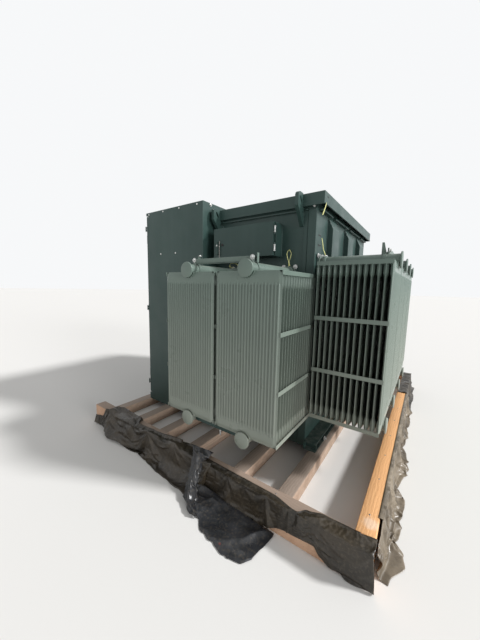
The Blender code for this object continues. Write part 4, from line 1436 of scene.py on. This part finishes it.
def buildBaseBolts():
    bm = bmesh.new()
    for x in baseBolts["places"]:
        seat = (x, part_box("base_channel")[1].y + seatGap, baseBolts["level"])
        addBolt(bm, seat, (0, 1, 0), baseBolts["size"], baseBolts["stud"])
    finishPiece("base_bolts", bm, whiteZinc)


buildLidTrim()
buildWelds()
buildCableTies()
buildPlugs()
buildRailTag()
buildBaseBolts()
print("lid, welds, cable ties, plugs and bolts fitted")


cornerFlats = {"reach": 0.0045, "near": 0.664, "far": 0.6965, "low": 0.130, "high": 2.0955}


def buildCornerFlats():        # second, thinner strip beside each rear corner strip
    bm = bmesh.new()
    for side in (1, -1):
        addSideBox(bm, side, (wall["right"], cornerFlats["near"], cornerFlats["low"]),
                   (wall["right"] + cornerFlats["reach"], cornerFlats["far"], cornerFlats["high"]))
    finishPiece("corner_flats", bm, greenPaint, bevel=0.0015)


lugs = {
    "half": 0.0150,
    "upper": ((0.9505, 2.1228), (1.0420, 2.1228), (1.0420, 2.1960), (1.0370, 2.2100), (1.0250, 2.2210),
              (1.0080, 2.2255), (0.9505, 2.2255)),
    "lower": ((0.9166, 1.9750), (0.9250, 1.9750), (1.0420, 2.1180), (1.0420, 2.1225), (0.9166, 2.1225)),
    "eye": ((0.9890, 2.1680), 0.0300, 0.0115, 0.94),
    "hole": ((0.9420, 2.0840), 0.0085, 0.0085, 0.0),
}


def addHoledPlate(bm, outline, hole, near, far, flip):        # convex (x, z) outline with an oval hole
    (middleX, middleZ), long, short, turn = hole
    corners = [math.atan2(z - middleZ, x - middleX) % math.tau for x, z in outline]
    angles = sorted(corners + [math.tau * step / 28 + 0.013 for step in range(28)])
    rings = [[], [], [], []]
    for angle in angles:
        dx, dz = math.cos(angle), math.sin(angle)
        reach = 10.0
        for (x0, z0), (x1, z1) in zip(outline, outline[1:] + outline[:1]):
            ex, ez = x1 - x0, z1 - z0
            cross = dx * ez - dz * ex
            if abs(cross) > 1e-9:
                away = ((x0 - middleX) * ez - (z0 - middleZ) * ex) / cross
                if away > 0:
                    reach = min(reach, away)
        inside = long * short / math.hypot(short * math.cos(angle - turn), long * math.sin(angle - turn))
        for index, (radius, y) in enumerate(((reach, near), (reach, far), (inside, near), (inside, far))):
            rings[index].append(bm.verts.new((flip * (middleX + dx * radius), y, middleZ + dz * radius)))
    outerNear, outerFar, innerNear, innerFar = rings
    for pair in ((outerNear, outerFar), (innerNear, innerFar), (outerNear, innerNear), (outerFar, innerFar)):
        bridgeRings(bm, pair)


def buildLugs():
    for node in lugNames:
        low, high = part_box(node)
        middle = (low.y + high.y) / 2
        near, far = middle - lugs["half"], middle + lugs["half"]
        flip = 1 if low.x > 0 else -1
        bm = bmesh.new()
        addHoledPlate(bm, lugs["upper"], lugs["eye"], near, far, flip)
        addHoledPlate(bm, lugs["lower"], lugs["hole"], near, far, flip)
        finishPiece(node + "_plate", bm, greenPaint, replaces=(node,), bevel=0.0015)


buildCornerFlats()
buildLugs()


nails = {
    "radius": 0.0055, "depth": 0.0016, "stray": 0.008, "seed": 4,
    "rear": (1.470, 1.119, 0.800, 0.460, 0.120, -0.215, -0.560), "rearLine": 1.374,
    "side": 1.6550, "inset": 0.055, "ends": ((1.540, -0.02), (1.590, 0.02)), "endLevel": 0.0984,
}


def buildNails():        # nail heads where the curb timbers cross the ones below
    bm = bmesh.new()
    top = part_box("curb_timber_rear")[1].z - nails["depth"]
    places = []
    for index, x in enumerate(nails["rear"]):
        places.append((x, nails["rearLine"] + sway(index * 3.7, nails["seed"], 0, nails["stray"]), top))
    crossing = [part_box(f"cross_timber_{number}")[0].y + nails["inset"] for number in range(1, 7)]
    for side in (1, -1):
        for y in crossing:
            places.append((side * nails["side"], y, top))
            places += [(side * x, y + shift, nails["endLevel"]) for x, shift in nails["ends"]]
    for place in places:
        addDome(bm, place, (0, 0, 1), nails["radius"])
    finishPiece("nail_heads", bm, bareSteel, slot="timber")


buildNails()
print("nails driven")
